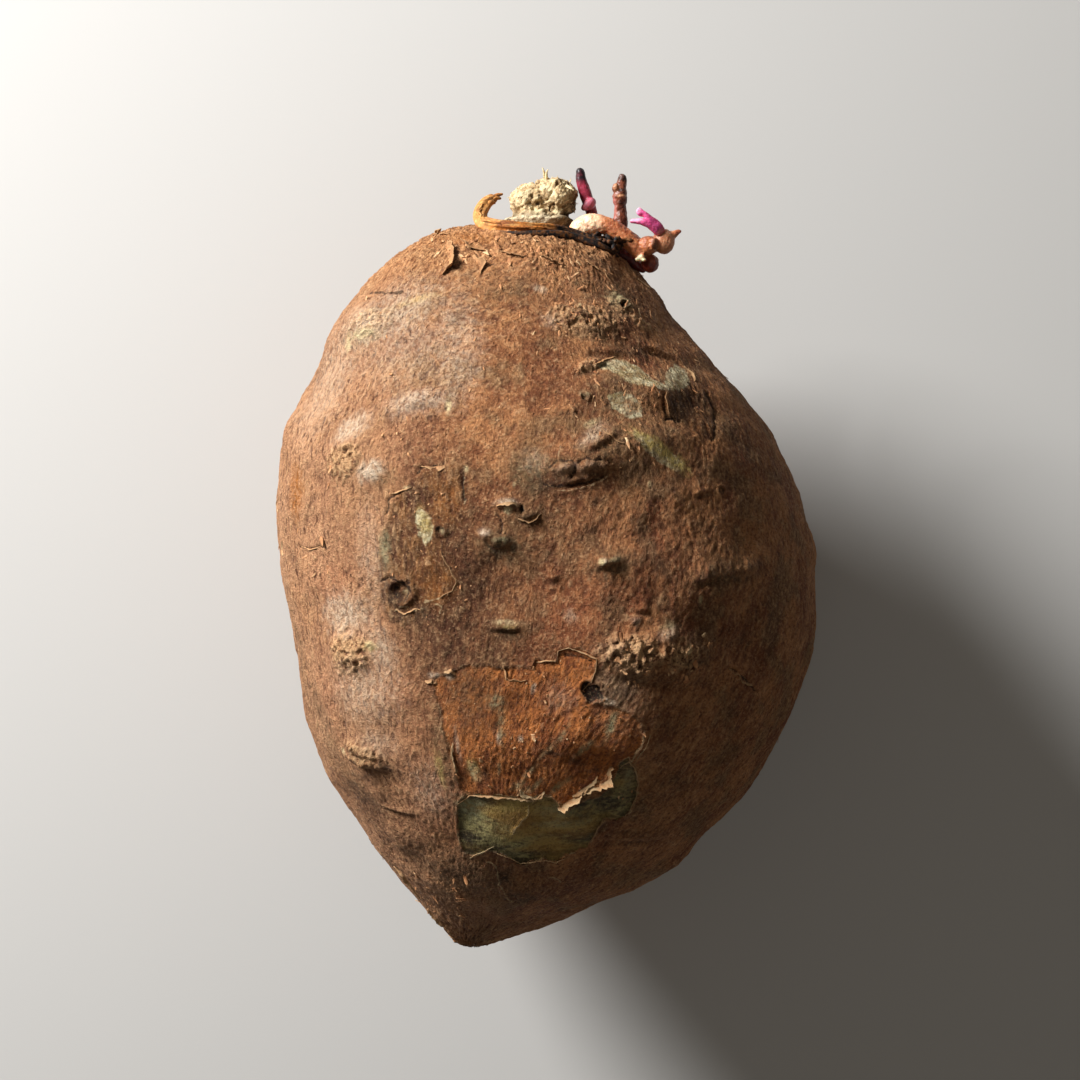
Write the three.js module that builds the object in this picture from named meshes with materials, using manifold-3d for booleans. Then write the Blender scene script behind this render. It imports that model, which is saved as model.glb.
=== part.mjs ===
// A sweet potato lying on its back: the tuber, the dry stub of its vine, a dried strand round
// that stub, and the young shoots beside it at the crown.
// Millimetres. +X is the tuber's right, +Y runs from the root tip to the crown, and +Z is up.
// The origin is the middle of the small flat spot that the tuber rests on.
import * as THREE from "three";
import { mergeVertices } from "three/addons/utils/BufferGeometryUtils.js";
import Module from "manifold-3d";

const wasm = await Module();
wasm.setup();

// The tuber's length, its depth as a share of its width, and how far its round back sinks
// into the surface before that back is flattened.
const tuber = {
  tipY: -72,
  crownY: 65.5,
  tipX: -14.2,
  crownX: -9,
  tipWidth: 19,
  crownWidth: 54,
  depthShare: 0.86,
  restSink: 0.45,
  divisions: 29,
};
const axisHeight = 43;
const crownRise = 4;
const tipDrop = -4;
const gap = 0.3;

// The outline seen from above, from the root tip to the crown: each height along Y, with the
// left and the right edge there.
const outline = [
  { y: -70.3, left: -18.0, right: -7.6 },
  { y: -67.5, left: -20.3, right: 0.2 },
  { y: -63.7, left: -23.9, right: 8.9 },
  { y: -59.9, left: -27.4, right: 17.9 },
  { y: -52.3, left: -32.9, right: 27.6 },
  { y: -44.7, left: -37.8, right: 35.5 },
  { y: -37.1, left: -42.4, right: 40.7 },
  { y: -29.5, left: -45.2, right: 45.0 },
  { y: -14.3, left: -47.7, right: 50.2 },
  { y: 1.0, left: -50.6, right: 50.4 },
  { y: 16.2, left: -51.0, right: 46.9 },
  { y: 23.8, left: -50.0, right: 43.6 },
  { y: 31.4, left: -46.9, right: 38.4 },
  { y: 39.0, left: -43.2, right: 31.9 },
  { y: 46.6, left: -40.2, right: 24.9 },
  { y: 54.2, left: -34.0, right: 19.0 },
  { y: 60.8, left: -26.0, right: 11.4 },
  { y: 63.2, left: -21.5, right: 5.3 },
];

// Root scars, ridges and hollows of the side that faces up: where each is, how far it stands
// out, its half length and half width, and its turn in degrees from +X.
const upperRelief = [
  { x: -34.9, y: 46.7, rise: 1.4, long: 9, wide: 7, turn: 35 },
  { x: -48.0, y: 26.4, rise: 0.8, long: 6, wide: 5, turn: 0 },
  { x: -22.2, y: 29.8, rise: 1.1, long: 7, wide: 5, turn: 10 },
  { x: -33.2, y: 19.7, rise: 1.3, long: 8, wide: 5, turn: -10 },
  { x: 3.7, y: 18.3, rise: 2.2, long: 11, wide: 4.5, turn: 6 },
  { x: 9.6, y: 45.6, rise: 1.5, long: 11, wide: 5, turn: -6 },
  { x: 16.7, y: 35.3, rise: 1.5, long: 13, wide: 4.5, turn: -14 },
  { x: 26.6, y: 30.7, rise: -1.0, long: 6, wide: 4.5, turn: -10 },
  { x: 15.1, y: 23.5, rise: 1.3, long: 12, wide: 4.5, turn: 14 },
  { x: -5.9, y: 10.8, rise: 1.3, long: 5, wide: 2.6, turn: -10 },
  { x: -9.4, y: 5.4, rise: 1.9, long: 5, wide: 3.2, turn: 0 },
  { x: 10.4, y: 1.7, rise: 1.9, long: 5.5, wide: 3.2, turn: 0 },
  { x: -8.0, y: -9.7, rise: 1.6, long: 5, wide: 2.6, turn: 0 },
  { x: -26.6, y: -3.5, rise: -0.8, long: 4.5, wide: 4, turn: 0 },
  { x: -36.0, y: -14.7, rise: 1.6, long: 8, wide: 6, turn: 0 },
  { x: 18.7, y: -14.2, rise: 3.0, long: 13, wide: 5.5, turn: -8 },
  { x: 14.5, y: -4.8, rise: 1.4, long: 12, wide: 9, turn: 20 },
  { x: 34.4, y: -1.2, rise: 1.0, long: 11, wide: 5, turn: 16 },
  { x: -33.6, y: -34.0, rise: 1.4, long: 8, wide: 5, turn: -16 },
  { x: -32.4, y: -23.3, rise: 0.9, long: 8, wide: 5, turn: 0 },
  { x: 8.5, y: -34.9, rise: -0.9, long: 9, wide: 3.5, turn: -18 },
  { x: 0.0, y: -3.4, rise: -1.2, long: 12, wide: 9, turn: 0 },
  { x: 0.0, y: -26.1, rise: -0.7, long: 14, wide: 9, turn: 0 },
  { x: 50.0, y: 4.6, rise: 1.0, long: 6, wide: 4, turn: 70 },
  { x: 46.0, y: -24.7, rise: 0.8, long: 6, wide: 4, turn: 60 },
  { x: 23.8, y: -54.9, rise: 0.8, long: 7, wide: 4, turn: 30 },
  { x: -27.7, y: -49.4, rise: 0.9, long: 6, wide: 4, turn: -20 },
];

// The side that faces down has the same kinds of scar, spread on a turning spiral.
const lowerScars = {
  count: 11,
  fromY: -52,
  stepY: 10.4,
  turnStep: 137.5,
  turnStart: 196,
  turnSpan: 148,
  rise: 1.1,
  long: 8,
  wide: 4,
};

// A smooth curve through values at rising positions, with slopes taken from the neighbours.
function smoothThrough(at, values) {
  const last = at.length - 1;
  const slope = at.map((_, i) => {
    const a = Math.max(0, i - 1);
    const b = Math.min(last, i + 1);
    return (values[b] - values[a]) / (at[b] - at[a]);
  });
  return (x) => {
    let i = 0;
    while (i < last - 1 && x > at[i + 1]) i++;
    const h = at[i + 1] - at[i];
    const t = THREE.MathUtils.clamp((x - at[i]) / h, 0, 1);
    const s = 1 - t;
    return (
      s * s * (1 + 2 * t) * values[i] +
      t * t * (1 + 2 * s) * values[i + 1] +
      t * s * h * (s * slope[i] - t * slope[i + 1])
    );
  };
}

// How far along the tuber a height lies, as an angle from 0 at the tip to pi at the crown.
const tuberLength = tuber.crownY - tuber.tipY;
function turnAt(y) {
  return Math.acos(1 - (2 * (y - tuber.tipY)) / tuberLength);
}

const stations = outline.map(({ y, left, right }) => ({
  turn: turnAt(y),
  middle: (left + right) / 2,
  reach: (right - left) / 2 / Math.sin(turnAt(y)),
}));
const turns = [0, ...stations.map((s) => s.turn), Math.PI];
const middleAt = smoothThrough(turns, [tuber.tipX, ...stations.map((s) => s.middle), tuber.crownX]);
const reachAt = smoothThrough(turns, [
  tuber.tipWidth,
  ...stations.map((s) => s.reach),
  tuber.crownWidth,
]);
const heightAt = smoothThrough(
  [0, 0.9, 1.6, 2.4, Math.PI],
  [axisHeight + tipDrop, axisHeight - 1, axisHeight, axisHeight + 1, axisHeight + crownRise],
);

// The height at which the round back is flattened. All heights are stated from under it, and
// the finished model is lowered by it, so that the flat spot lies at zero.
const floorHeight = axisHeight - reachAt(Math.PI / 2) * tuber.depthShare + tuber.restSink;

// The plain tuber's point in a direction, before its relief.
function tuberPoint(direction) {
  const turn = Math.acos(THREE.MathUtils.clamp(-direction.y, -1, 1));
  const reach = reachAt(turn);
  return new THREE.Vector3(
    middleAt(turn) + reach * direction.x,
    tuber.tipY + (tuberLength * (1 + direction.y)) / 2,
    heightAt(turn) + reach * tuber.depthShare * direction.z,
  );
}

// The direction of the point that lies above x, y, on the upper side.
function directionAbove(x, y) {
  const turn = turnAt(y);
  const across = THREE.MathUtils.clamp(
    (x - middleAt(turn)) / reachAt(turn),
    -Math.sin(turn),
    Math.sin(turn),
  );
  const up = Math.sqrt(Math.max(0, Math.sin(turn) ** 2 - across ** 2));
  return new THREE.Vector3(across, -Math.cos(turn), up);
}

// The direction at a height and an angle round the long axis, 0 at +X and 90 at the top.
function directionRound(y, degrees) {
  const turn = turnAt(y);
  const round = THREE.MathUtils.degToRad(degrees);
  return new THREE.Vector3(
    Math.sin(turn) * Math.cos(round),
    -Math.cos(turn),
    Math.sin(turn) * Math.sin(round),
  );
}

// A mark is one piece of relief with its middle and its two directions on the surface.
function markAt(direction, { rise, long, wide, turn }) {
  const outward = new THREE.Vector3(direction.x, direction.y * 0.6, direction.z).normalize();
  const across = new THREE.Vector3(0, 1, 0).cross(outward).normalize();
  const along = outward.clone().cross(across).normalize();
  const angle = THREE.MathUtils.degToRad(turn);
  return {
    middle: tuberPoint(direction),
    lengthways: across
      .clone()
      .multiplyScalar(Math.cos(angle))
      .addScaledVector(along, Math.sin(angle))
      .divideScalar(long),
    sideways: across
      .clone()
      .multiplyScalar(-Math.sin(angle))
      .addScaledVector(along, Math.cos(angle))
      .divideScalar(wide),
    depthways: outward.clone().divideScalar(long + wide),
    rise,
  };
}

const marks = [
  ...upperRelief.map((r) => markAt(directionAbove(r.x, r.y), r)),
  ...Array.from({ length: lowerScars.count }, (_, k) => {
    const round = lowerScars.turnStart + ((k * lowerScars.turnStep) % lowerScars.turnSpan);
    const size = 0.8 + 0.4 * Math.sin(k * 2.3);
    return markAt(directionRound(lowerScars.fromY + k * lowerScars.stepY, round), {
      rise: lowerScars.rise * size,
      long: lowerScars.long * size,
      wide: lowerScars.wide * size,
      turn: 12 * Math.sin(k * 1.7),
    });
  }),
];

function reliefAt(point) {
  const away = new THREE.Vector3();
  return marks.reduce((sum, m) => {
    away.subVectors(point, m.middle);
    const spread =
      away.dot(m.lengthways) ** 2 + away.dot(m.sideways) ** 2 + away.dot(m.depthways) ** 2;
    return sum + m.rise * Math.exp(-spread * 1.4);
  }, 0);
}

// Geometry with only its points left, and shared, so that it can be read as a closed solid.
function welded(geometry) {
  geometry.deleteAttribute("normal");
  geometry.deleteAttribute("uv");
  geometry.clearGroups();
  return mergeVertices(geometry, 1e-4);
}

function solidOf(geometry) {
  return new wasm.Manifold(
    new wasm.Mesh({
      numProp: 3,
      vertProperties: new Float32Array(geometry.getAttribute("position").array),
      triVerts: new Uint32Array(geometry.index.array),
    }),
  );
}

function geometryOf(solid) {
  const mesh = solid.getMesh();
  const geometry = new THREE.BufferGeometry();
  geometry.setAttribute("position", new THREE.BufferAttribute(mesh.vertProperties, 3));
  geometry.setIndex(new THREE.BufferAttribute(mesh.triVerts, 1));
  geometry.computeVertexNormals();
  return geometry;
}

const fused = (...solids) => solids.reduce((a, b) => a.add(b));

// What is left of a solid after cuts, without the scraps that a cut can leave.
function largestBody(solid) {
  return solid.decompose().reduce((a, b) => (a.volume() > b.volume() ? a : b));
}

// A cube rounded to a ball, its points spaced evenly by angle.
function roundedCube(divisions) {
  const geometry = welded(new THREE.BoxGeometry(2, 2, 2, divisions, divisions, divisions));
  const position = geometry.getAttribute("position");
  const point = new THREE.Vector3();
  for (let i = 0; i < position.count; i++) {
    point.fromBufferAttribute(position, i);
    point.set(...point.toArray().map((c) => Math.tan((c * Math.PI) / 4))).normalize();
    position.setXYZ(i, point.x, point.y, point.z);
  }
  return geometry;
}

// The tuber, or a copy of it that is larger all round by the given skin.
function tuberSolid(skin = 0) {
  const geometry = roundedCube(tuber.divisions);
  const position = geometry.getAttribute("position");
  const point = new THREE.Vector3();
  for (let i = 0; i < position.count; i++) {
    point.copy(tuberPoint(point.fromBufferAttribute(position, i)));
    position.setXYZ(i, point.x, point.y, point.z);
  }
  geometry.computeVertexNormals();
  const normal = geometry.getAttribute("normal");
  const outward = new THREE.Vector3();
  for (let i = 0; i < position.count; i++) {
    point.fromBufferAttribute(position, i);
    outward.fromBufferAttribute(normal, i);
    point.addScaledVector(outward, reliefAt(point) + skin);
    position.setXYZ(i, point.x, point.y, Math.max(point.z, floorHeight - skin) - floorHeight);
  }
  geometry.deleteAttribute("normal");
  return solidOf(geometry);
}

// A tube bent along a path from its root to its tip, with a girth that changes on the way.
function bentTube({ path, girth, sides = 8, steps = 14, flat = 1 }, skin = 0) {
  const curve = new THREE.CatmullRomCurve3(path.map((p) => new THREE.Vector3(...p)));
  const frames = curve.computeFrenetFrames(steps, false);
  const girthAt = smoothThrough(
    girth.map((_, i) => i / (girth.length - 1)),
    girth,
  );
  const geometry = welded(new THREE.CylinderGeometry(1, 1, 1, sides, steps));
  const position = geometry.getAttribute("position");
  const point = new THREE.Vector3();
  for (let i = 0; i < position.count; i++) {
    const share = position.getY(i) + 0.5;
    const step = Math.round(share * steps);
    const radius = girthAt(share) + skin;
    curve.getPointAt(share, point);
    point.addScaledVector(frames.normals[step], position.getX(i) * radius);
    point.addScaledVector(frames.binormals[step], -position.getZ(i) * radius * flat);
    position.setXYZ(i, point.x, point.y, point.z);
  }
  return solidOf(geometry);
}

// A knob: an egg-shaped ball at a point, with its three half sizes.
function knob({ at, half, divisions = 5 }, skin = 0) {
  const geometry = roundedCube(divisions);
  geometry.scale(...half.map((h) => h + skin));
  geometry.translate(...at);
  return solidOf(geometry);
}

// The vine's stub: two crumbling lumps on a wider foot, its surface rough by a formula.
const stub = {
  blocks: [
    { at: [-2.6, 69.6, 43.6], half: [5.0, 4.1, 5.9] },
    { at: [1.2, 70.1, 43.4], half: [4.9, 4.9, 6.3] },
  ],
  foot: { at: [-1.6, 66.0, 44.9], half: [7.2, 2.6, 7.3] },
  squareness: 0.35,
  roughness: 0.5,
  divisions: 9,
};

function stubBlock({ at, half }, skin) {
  const block = roundedCube(stub.divisions);
  const position = block.getAttribute("position");
  const point = new THREE.Vector3();
  for (let i = 0; i < position.count; i++) {
    point.fromBufferAttribute(position, i);
    const boxed = Math.max(...point.toArray().map(Math.abs)) ** stub.squareness;
    const rough =
      Math.sin(7 * point.x + 2) * Math.cos(6 * point.y) + Math.sin(8 * point.z + 5 * point.y);
    point.divideScalar(boxed).multiplyScalar(0.88);
    const reach = half.map((h) => h + (stub.roughness * rough) / 2 + skin);
    point.multiply(new THREE.Vector3(...reach));
    position.setXYZ(i, point.x, point.y, point.z);
  }
  block.translate(...at);
  return solidOf(block);
}

function stubSolid(skin = 0) {
  return fused(
    ...stub.blocks.map((b) => stubBlock(b, skin)),
    knob({ ...stub.foot, divisions: 8 }, skin),
  );
}

// The dried strand curls round the stub from the left and lies across the front of the crown.
const strand = {
  path: [
    [-9.6, 70.3, 49.0],
    [-11.4, 69.0, 50.5],
    [-12.5, 67.0, 52.2],
    [-12.2, 65.2, 54.2],
    [-10.2, 64.3, 56.3],
    [-6.5, 63.9, 57.3],
    [-2.4, 63.8, 56.9],
    [1.7, 63.7, 55.2],
    [5.0, 63.2, 53.6],
    [8.4, 62.2, 53.2],
    [11.0, 61.2, 52.6],
    [13.2, 60.0, 51.0],
  ],
  girth: [0.7, 1.05, 1.2, 1.2, 1.1, 1.0, 0.95, 0.9, 0.85, 1.1, 1.4, 0.9],
  sides: 8,
  steps: 26,
};

// The shoots. Each path starts inside the tuber and is cut off just above its skin.
const pinkShoot = {
  stem: {
    path: [
      [8.6, 60.0, 42.5],
      [8.6, 67.2, 43.0],
      [7.6, 70.5, 43.4],
      [6.6, 73.6, 43.6],
      [6.2, 76.4, 43.8],
    ],
    girth: [1.1, 1.0, 1.1, 1.15, 0.75],
  },
  bract: {
    path: [
      [8.7, 70.4, 44.0],
      [8.0, 69.3, 44.9],
      [6.5, 68.3, 45.2],
    ],
    girth: [0.7, 1.05, 0.35],
    steps: 6,
  },
};

const brownShoot = {
  path: [
    [13.6, 57.0, 44.0],
    [13.8, 63.5, 45.0],
    [13.9, 67.5, 45.6],
    [13.8, 70.5, 46.0],
    [14.1, 73.0, 46.1],
    [14.4, 75.0, 46.2],
  ],
  girth: [1.4, 1.5, 1.3, 1.25, 1.5, 1.15, 1.35, 1.0, 0.7],
  steps: 22,
};

const fleshySprout = {
  stem: {
    path: [
      [4.5, 60.5, 48.5],
      [6.0, 63.8, 49.6],
      [8.3, 65.0, 50.3],
      [11.6, 64.5, 50.6],
      [14.7, 62.5, 50.6],
      [17.1, 60.4, 50.4],
      [18.4, 58.6, 50.0],
    ],
    girth: [1.5, 2.0, 2.1, 1.75, 1.75, 1.8, 1.5],
    sides: 10,
    steps: 16,
  },
  knobs: [
    { at: [19.0, 61.0, 51.0], half: [2.0, 1.8, 1.9] },
    { at: [21.9, 61.8, 50.6], half: [2.1, 2.4, 2.0] },
    { at: [19.4, 57.8, 49.3], half: [1.7, 1.8, 1.8] },
    { at: [17.6, 58.6, 51.4], half: [0.95, 0.9, 0.9] },
  ],
  spur: {
    path: [
      [22.4, 62.4, 50.6],
      [23.9, 63.2, 50.7],
      [25.2, 63.9, 50.8],
    ],
    girth: [1.3, 0.8, 0.3],
    steps: 5,
  },
};

const magentaBud = [
  {
    path: [
      [21.6, 63.1, 51.6],
      [20.6, 64.7, 52.2],
      [18.9, 66.1, 52.7],
      [17.0, 67.9, 52.8],
    ],
    girth: [1.1, 0.95, 0.75, 0.4],
    steps: 8,
  },
  {
    path: [
      [21.3, 63.1, 51.8],
      [20.1, 64.2, 52.6],
      [18.1, 65.2, 53.1],
      [15.5, 65.4, 53.2],
    ],
    girth: [1.1, 1.0, 0.85, 0.4],
    steps: 8,
  },
];

const redShoot = {
  path: [
    [10.0, 57.0, 45.0],
    [12.6, 60.4, 46.6],
    [14.8, 59.4, 47.0],
    [17.0, 57.6, 47.0],
    [18.6, 56.4, 46.6],
  ],
  girth: [1.3, 1.3, 1.2, 1.1, 0.6],
};

function lowered(solid) {
  return solid.translate([0, 0, -floorHeight]);
}

function fleshySolid(skin = 0) {
  return fused(
    bentTube(fleshySprout.stem, skin),
    bentTube(fleshySprout.spur, skin),
    ...fleshySprout.knobs.map((k) => knob(k, skin)),
  );
}

const tuberBody = tuberSolid();
const tuberWithGap = tuberSolid(gap);
const stubBody = lowered(stubSolid());
const stubWithGap = lowered(stubSolid(gap));
const fleshyWithGap = lowered(fleshySolid(gap));
const strandWithGap = lowered(bentTube(strand, gap));
const redWithGap = lowered(bentTube(redShoot, gap));

// Each piece is cut clear of what it grows from or leans on.
function cutClear(solid, ...others) {
  return largestBody(others.reduce((a, b) => a.subtract(b), lowered(solid)));
}

const pieces = [
  { name: "tuber", solid: tuberBody, colour: "#a9745a", roughness: 0.85 },
  {
    name: "vine_stub",
    solid: largestBody(stubBody.subtract(tuberWithGap)),
    colour: "#b9a67c",
    roughness: 0.95,
  },
  {
    name: "dry_strand",
    solid: cutClear(bentTube(strand), tuberWithGap, stubWithGap),
    colour: "#b07a3c",
    roughness: 0.7,
  },
  {
    name: "fleshy_sprout",
    solid: cutClear(fleshySolid(), tuberWithGap, stubWithGap, strandWithGap),
    colour: "#d19a78",
    roughness: 0.45,
  },
  {
    name: "magenta_bud",
    solid: cutClear(fused(...magentaBud.map((p) => bentTube(p))), fleshyWithGap),
    colour: "#b0559a",
    roughness: 0.4,
  },
  {
    name: "pink_shoot",
    solid: cutClear(
      fused(bentTube(pinkShoot.stem), bentTube(pinkShoot.bract)),
      tuberWithGap,
      stubWithGap,
      fleshyWithGap,
      strandWithGap,
    ),
    colour: "#a8476a",
    roughness: 0.4,
  },
  {
    name: "brown_shoot",
    solid: cutClear(bentTube(brownShoot), tuberWithGap, fleshyWithGap, redWithGap),
    colour: "#7a4a34",
    roughness: 0.6,
  },
  {
    name: "red_shoot",
    solid: cutClear(bentTube(redShoot), tuberWithGap, fleshyWithGap, strandWithGap),
    colour: "#6b2018",
    roughness: 0.5,
  },
];

const sweetPotato = new THREE.Group();
for (const { name, solid, colour, roughness } of pieces) {
  const mesh = new THREE.Mesh(
    geometryOf(solid),
    new THREE.MeshStandardMaterial({ color: colour, roughness, metalness: 0 }),
  );
  mesh.name = name;
  sweetPotato.add(mesh);
}

export default sweetPotato;
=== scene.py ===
# A sweet potato on its back, seen from above: its skin, vine stub, dried strand and shoots.
import math

import bpy
import numpy as np
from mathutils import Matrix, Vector


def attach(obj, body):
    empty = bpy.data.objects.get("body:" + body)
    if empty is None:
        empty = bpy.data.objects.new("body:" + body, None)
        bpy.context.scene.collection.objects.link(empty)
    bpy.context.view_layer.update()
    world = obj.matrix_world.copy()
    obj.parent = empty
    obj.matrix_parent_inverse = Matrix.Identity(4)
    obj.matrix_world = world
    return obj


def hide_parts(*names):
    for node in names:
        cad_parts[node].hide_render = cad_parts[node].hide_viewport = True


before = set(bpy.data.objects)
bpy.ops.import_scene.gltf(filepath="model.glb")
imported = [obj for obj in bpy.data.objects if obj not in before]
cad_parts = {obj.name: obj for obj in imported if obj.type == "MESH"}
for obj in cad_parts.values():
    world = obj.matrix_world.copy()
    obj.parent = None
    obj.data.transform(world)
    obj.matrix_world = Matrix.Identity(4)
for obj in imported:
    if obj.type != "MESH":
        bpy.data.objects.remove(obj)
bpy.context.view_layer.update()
mm = 0.001

# The camera stands straight above, as far off as its lens needs to fill the frame. A pixel of
# the photograph, seen from there, is 0.19 mm at the height of the tuber's outline.
cameraLook = {"lens": 120, "sensor": 36, "framePixels": 1080, "mmPerPixel": 0.19,
              "originPixel": (547, 570), "focusHeight": 43}


def flatPlace(px, py):
    return np.array([(px - cameraLook["originPixel"][0]) * cameraLook["mmPerPixel"],
                     (cameraLook["originPixel"][1] - py) * cameraLook["mmPerPixel"]])


cameraMiddle = flatPlace(cameraLook["framePixels"] / 2, cameraLook["framePixels"] / 2)
cameraDistance = (cameraLook["framePixels"] * cameraLook["mmPerPixel"]
                  * cameraLook["lens"] / cameraLook["sensor"])


def makeCamera():
    data = bpy.data.cameras.new("camera")
    data.lens, data.sensor_width = cameraLook["lens"], cameraLook["sensor"]
    data.clip_start, data.clip_end = 0.01, 10
    camera = bpy.data.objects.new("camera", data)
    bpy.context.scene.collection.objects.link(camera)
    camera.location = Vector((*cameraMiddle, cameraLook["focusHeight"] + cameraDistance)) * mm
    bpy.context.scene.camera = camera


makeCamera()


# Curves, noise and meshes.
def smoothThrough(at, values):
    at, values = np.array(at, float), np.array(values, float)
    slope = np.empty_like(values)
    slope[1:-1] = (values[2:] - values[:-2]) / (at[2:] - at[:-2])
    slope[0] = (values[1] - values[0]) / (at[1] - at[0])
    slope[-1] = (values[-1] - values[-2]) / (at[-1] - at[-2])

    def curve(x):
        i = np.clip(np.searchsorted(at, x, side="right") - 1, 0, len(at) - 2)
        h = at[i + 1] - at[i]
        t = np.clip((x - at[i]) / h, 0, 1)
        s = 1 - t
        return (s * s * (1 + 2 * t) * values[i] + t * t * (1 + 2 * s) * values[i + 1]
                + t * s * h * (s * slope[i] - t * slope[i + 1]))

    return curve


def smoothStep(low, high, x):
    t = np.clip((x - low) / (high - low), 0, 1)
    return t * t * (3 - 2 * t)


def bell(x, width):
    return np.exp(-(x / width) ** 2)


def unit(v):
    return v / np.maximum(np.linalg.norm(v, axis=-1, keepdims=True), 1e-9)


# Seeded gradient noise on many points at once, from about -1 to 1.
def makeNoise(seed):
    draw = np.random.default_rng(seed)
    order = draw.permutation(256).astype(np.int32)
    order = np.concatenate([order, order])
    slopes = unit(draw.normal(size=(256, 3))).astype(np.float32)

    def noise(points):
        cell = np.floor(points)
        f = (points - cell).astype(np.float32)
        cell = cell.astype(np.int32) & 255
        fade = f * f * f * (f * (f * 6 - 15) + 10)
        total = np.zeros(len(points), np.float32)
        for dx in (0, 1):
            wx = fade[:, 0] if dx else 1 - fade[:, 0]
            hx = order[(cell[:, 0] + dx) & 255]
            for dy in (0, 1):
                wy = fade[:, 1] if dy else 1 - fade[:, 1]
                hy = order[hx + ((cell[:, 1] + dy) & 255)]
                for dz in (0, 1):
                    wz = fade[:, 2] if dz else 1 - fade[:, 2]
                    slope = slopes[order[hy + ((cell[:, 2] + dz) & 255)] & 255]
                    dot = ((f[:, 0] - dx) * slope[:, 0] + (f[:, 1] - dy) * slope[:, 1]
                           + (f[:, 2] - dz) * slope[:, 2])
                    total += wx * wy * wz * dot
        return total * 1.7

    return noise


noiseA, noiseB, noiseC = makeNoise(3), makeNoise(17), makeNoise(41)


# A ball of evenly spaced points, as a cube rounded out, with the grid of points on each of its
# six sides and their square maps.
def roundedCube(divisions):
    line = np.tan(np.linspace(-1, 1, divisions + 1) * math.pi / 4)
    a, b = np.meshgrid(line, line, indexing="ij")
    one = np.ones_like(a)
    sides = [(a, b, one), (b, a, -one), (one, a, b), (-one, b, a), (b, one, a), (a, -one, b)]
    points = np.concatenate([np.stack(s, -1).reshape(-1, 3) for s in sides])
    i, j = np.meshgrid(np.arange(divisions), np.arange(divisions), indexing="ij")
    corner = (i * (divisions + 1) + j).ravel()
    quad = np.stack([corner, corner + divisions + 1, corner + divisions + 2, corner + 1], -1)
    share = np.stack([i, j], -1).reshape(-1, 2)
    steps = np.array([(0, 0), (1, 0), (1, 1), (0, 1)])
    quads, maps = [], []
    for k in range(6):
        quads.append(quad + k * (divisions + 1) ** 2)
        place = (share[:, None, :] + steps[None]) / divisions
        maps.append((place * 0.98 + 0.01 + np.array([k % 3, k // 3])) / np.array([3, 2]))
    keys = np.round(points * 1e6).astype(np.int64)
    _, first, back = np.unique(keys, axis=0, return_index=True, return_inverse=True)
    back = back.reshape(-1)
    return (unit(points[first]), back[np.concatenate(quads)],
            back.reshape(6, divisions + 1, divisions + 1), np.concatenate(maps).reshape(-1, 2))


# A mesh from points in mm and from arrays of faces, one array for each number of sides.
def makeMesh(name, points, faceSets, places=None, scale=mm):
    mesh = bpy.data.meshes.new(name)
    corners = np.concatenate([f.ravel() for f in faceSets]).astype(np.int32)
    sides = np.concatenate([np.full(len(f), f.shape[1], np.int32) for f in faceSets])
    mesh.vertices.add(len(points))
    mesh.vertices.foreach_set("co", (points * scale).astype(np.float32).ravel())
    mesh.loops.add(len(corners))
    mesh.loops.foreach_set("vertex_index", corners)
    mesh.polygons.add(len(sides))
    mesh.polygons.foreach_set("loop_start", np.cumsum(sides, dtype=np.int32) - sides)
    mesh.update(calc_edges=True)
    mesh.shade_smooth()
    if places is not None:
        layer = mesh.uv_layers.new(name="OFBake")
        layer.data.foreach_set("uv", places.astype(np.float32).ravel())
    made = bpy.data.objects.new(name, mesh)
    bpy.context.scene.collection.objects.link(made)
    return made


def setValues(made, values):
    for name, value in values.items():
        kind = "FLOAT_VECTOR" if value.ndim == 2 else "FLOAT"
        layer = made.data.attributes.new(name, kind, "POINT")
        layer.data.foreach_set("vector" if value.ndim == 2 else "value",
                               value.astype(np.float32).ravel())


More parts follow.
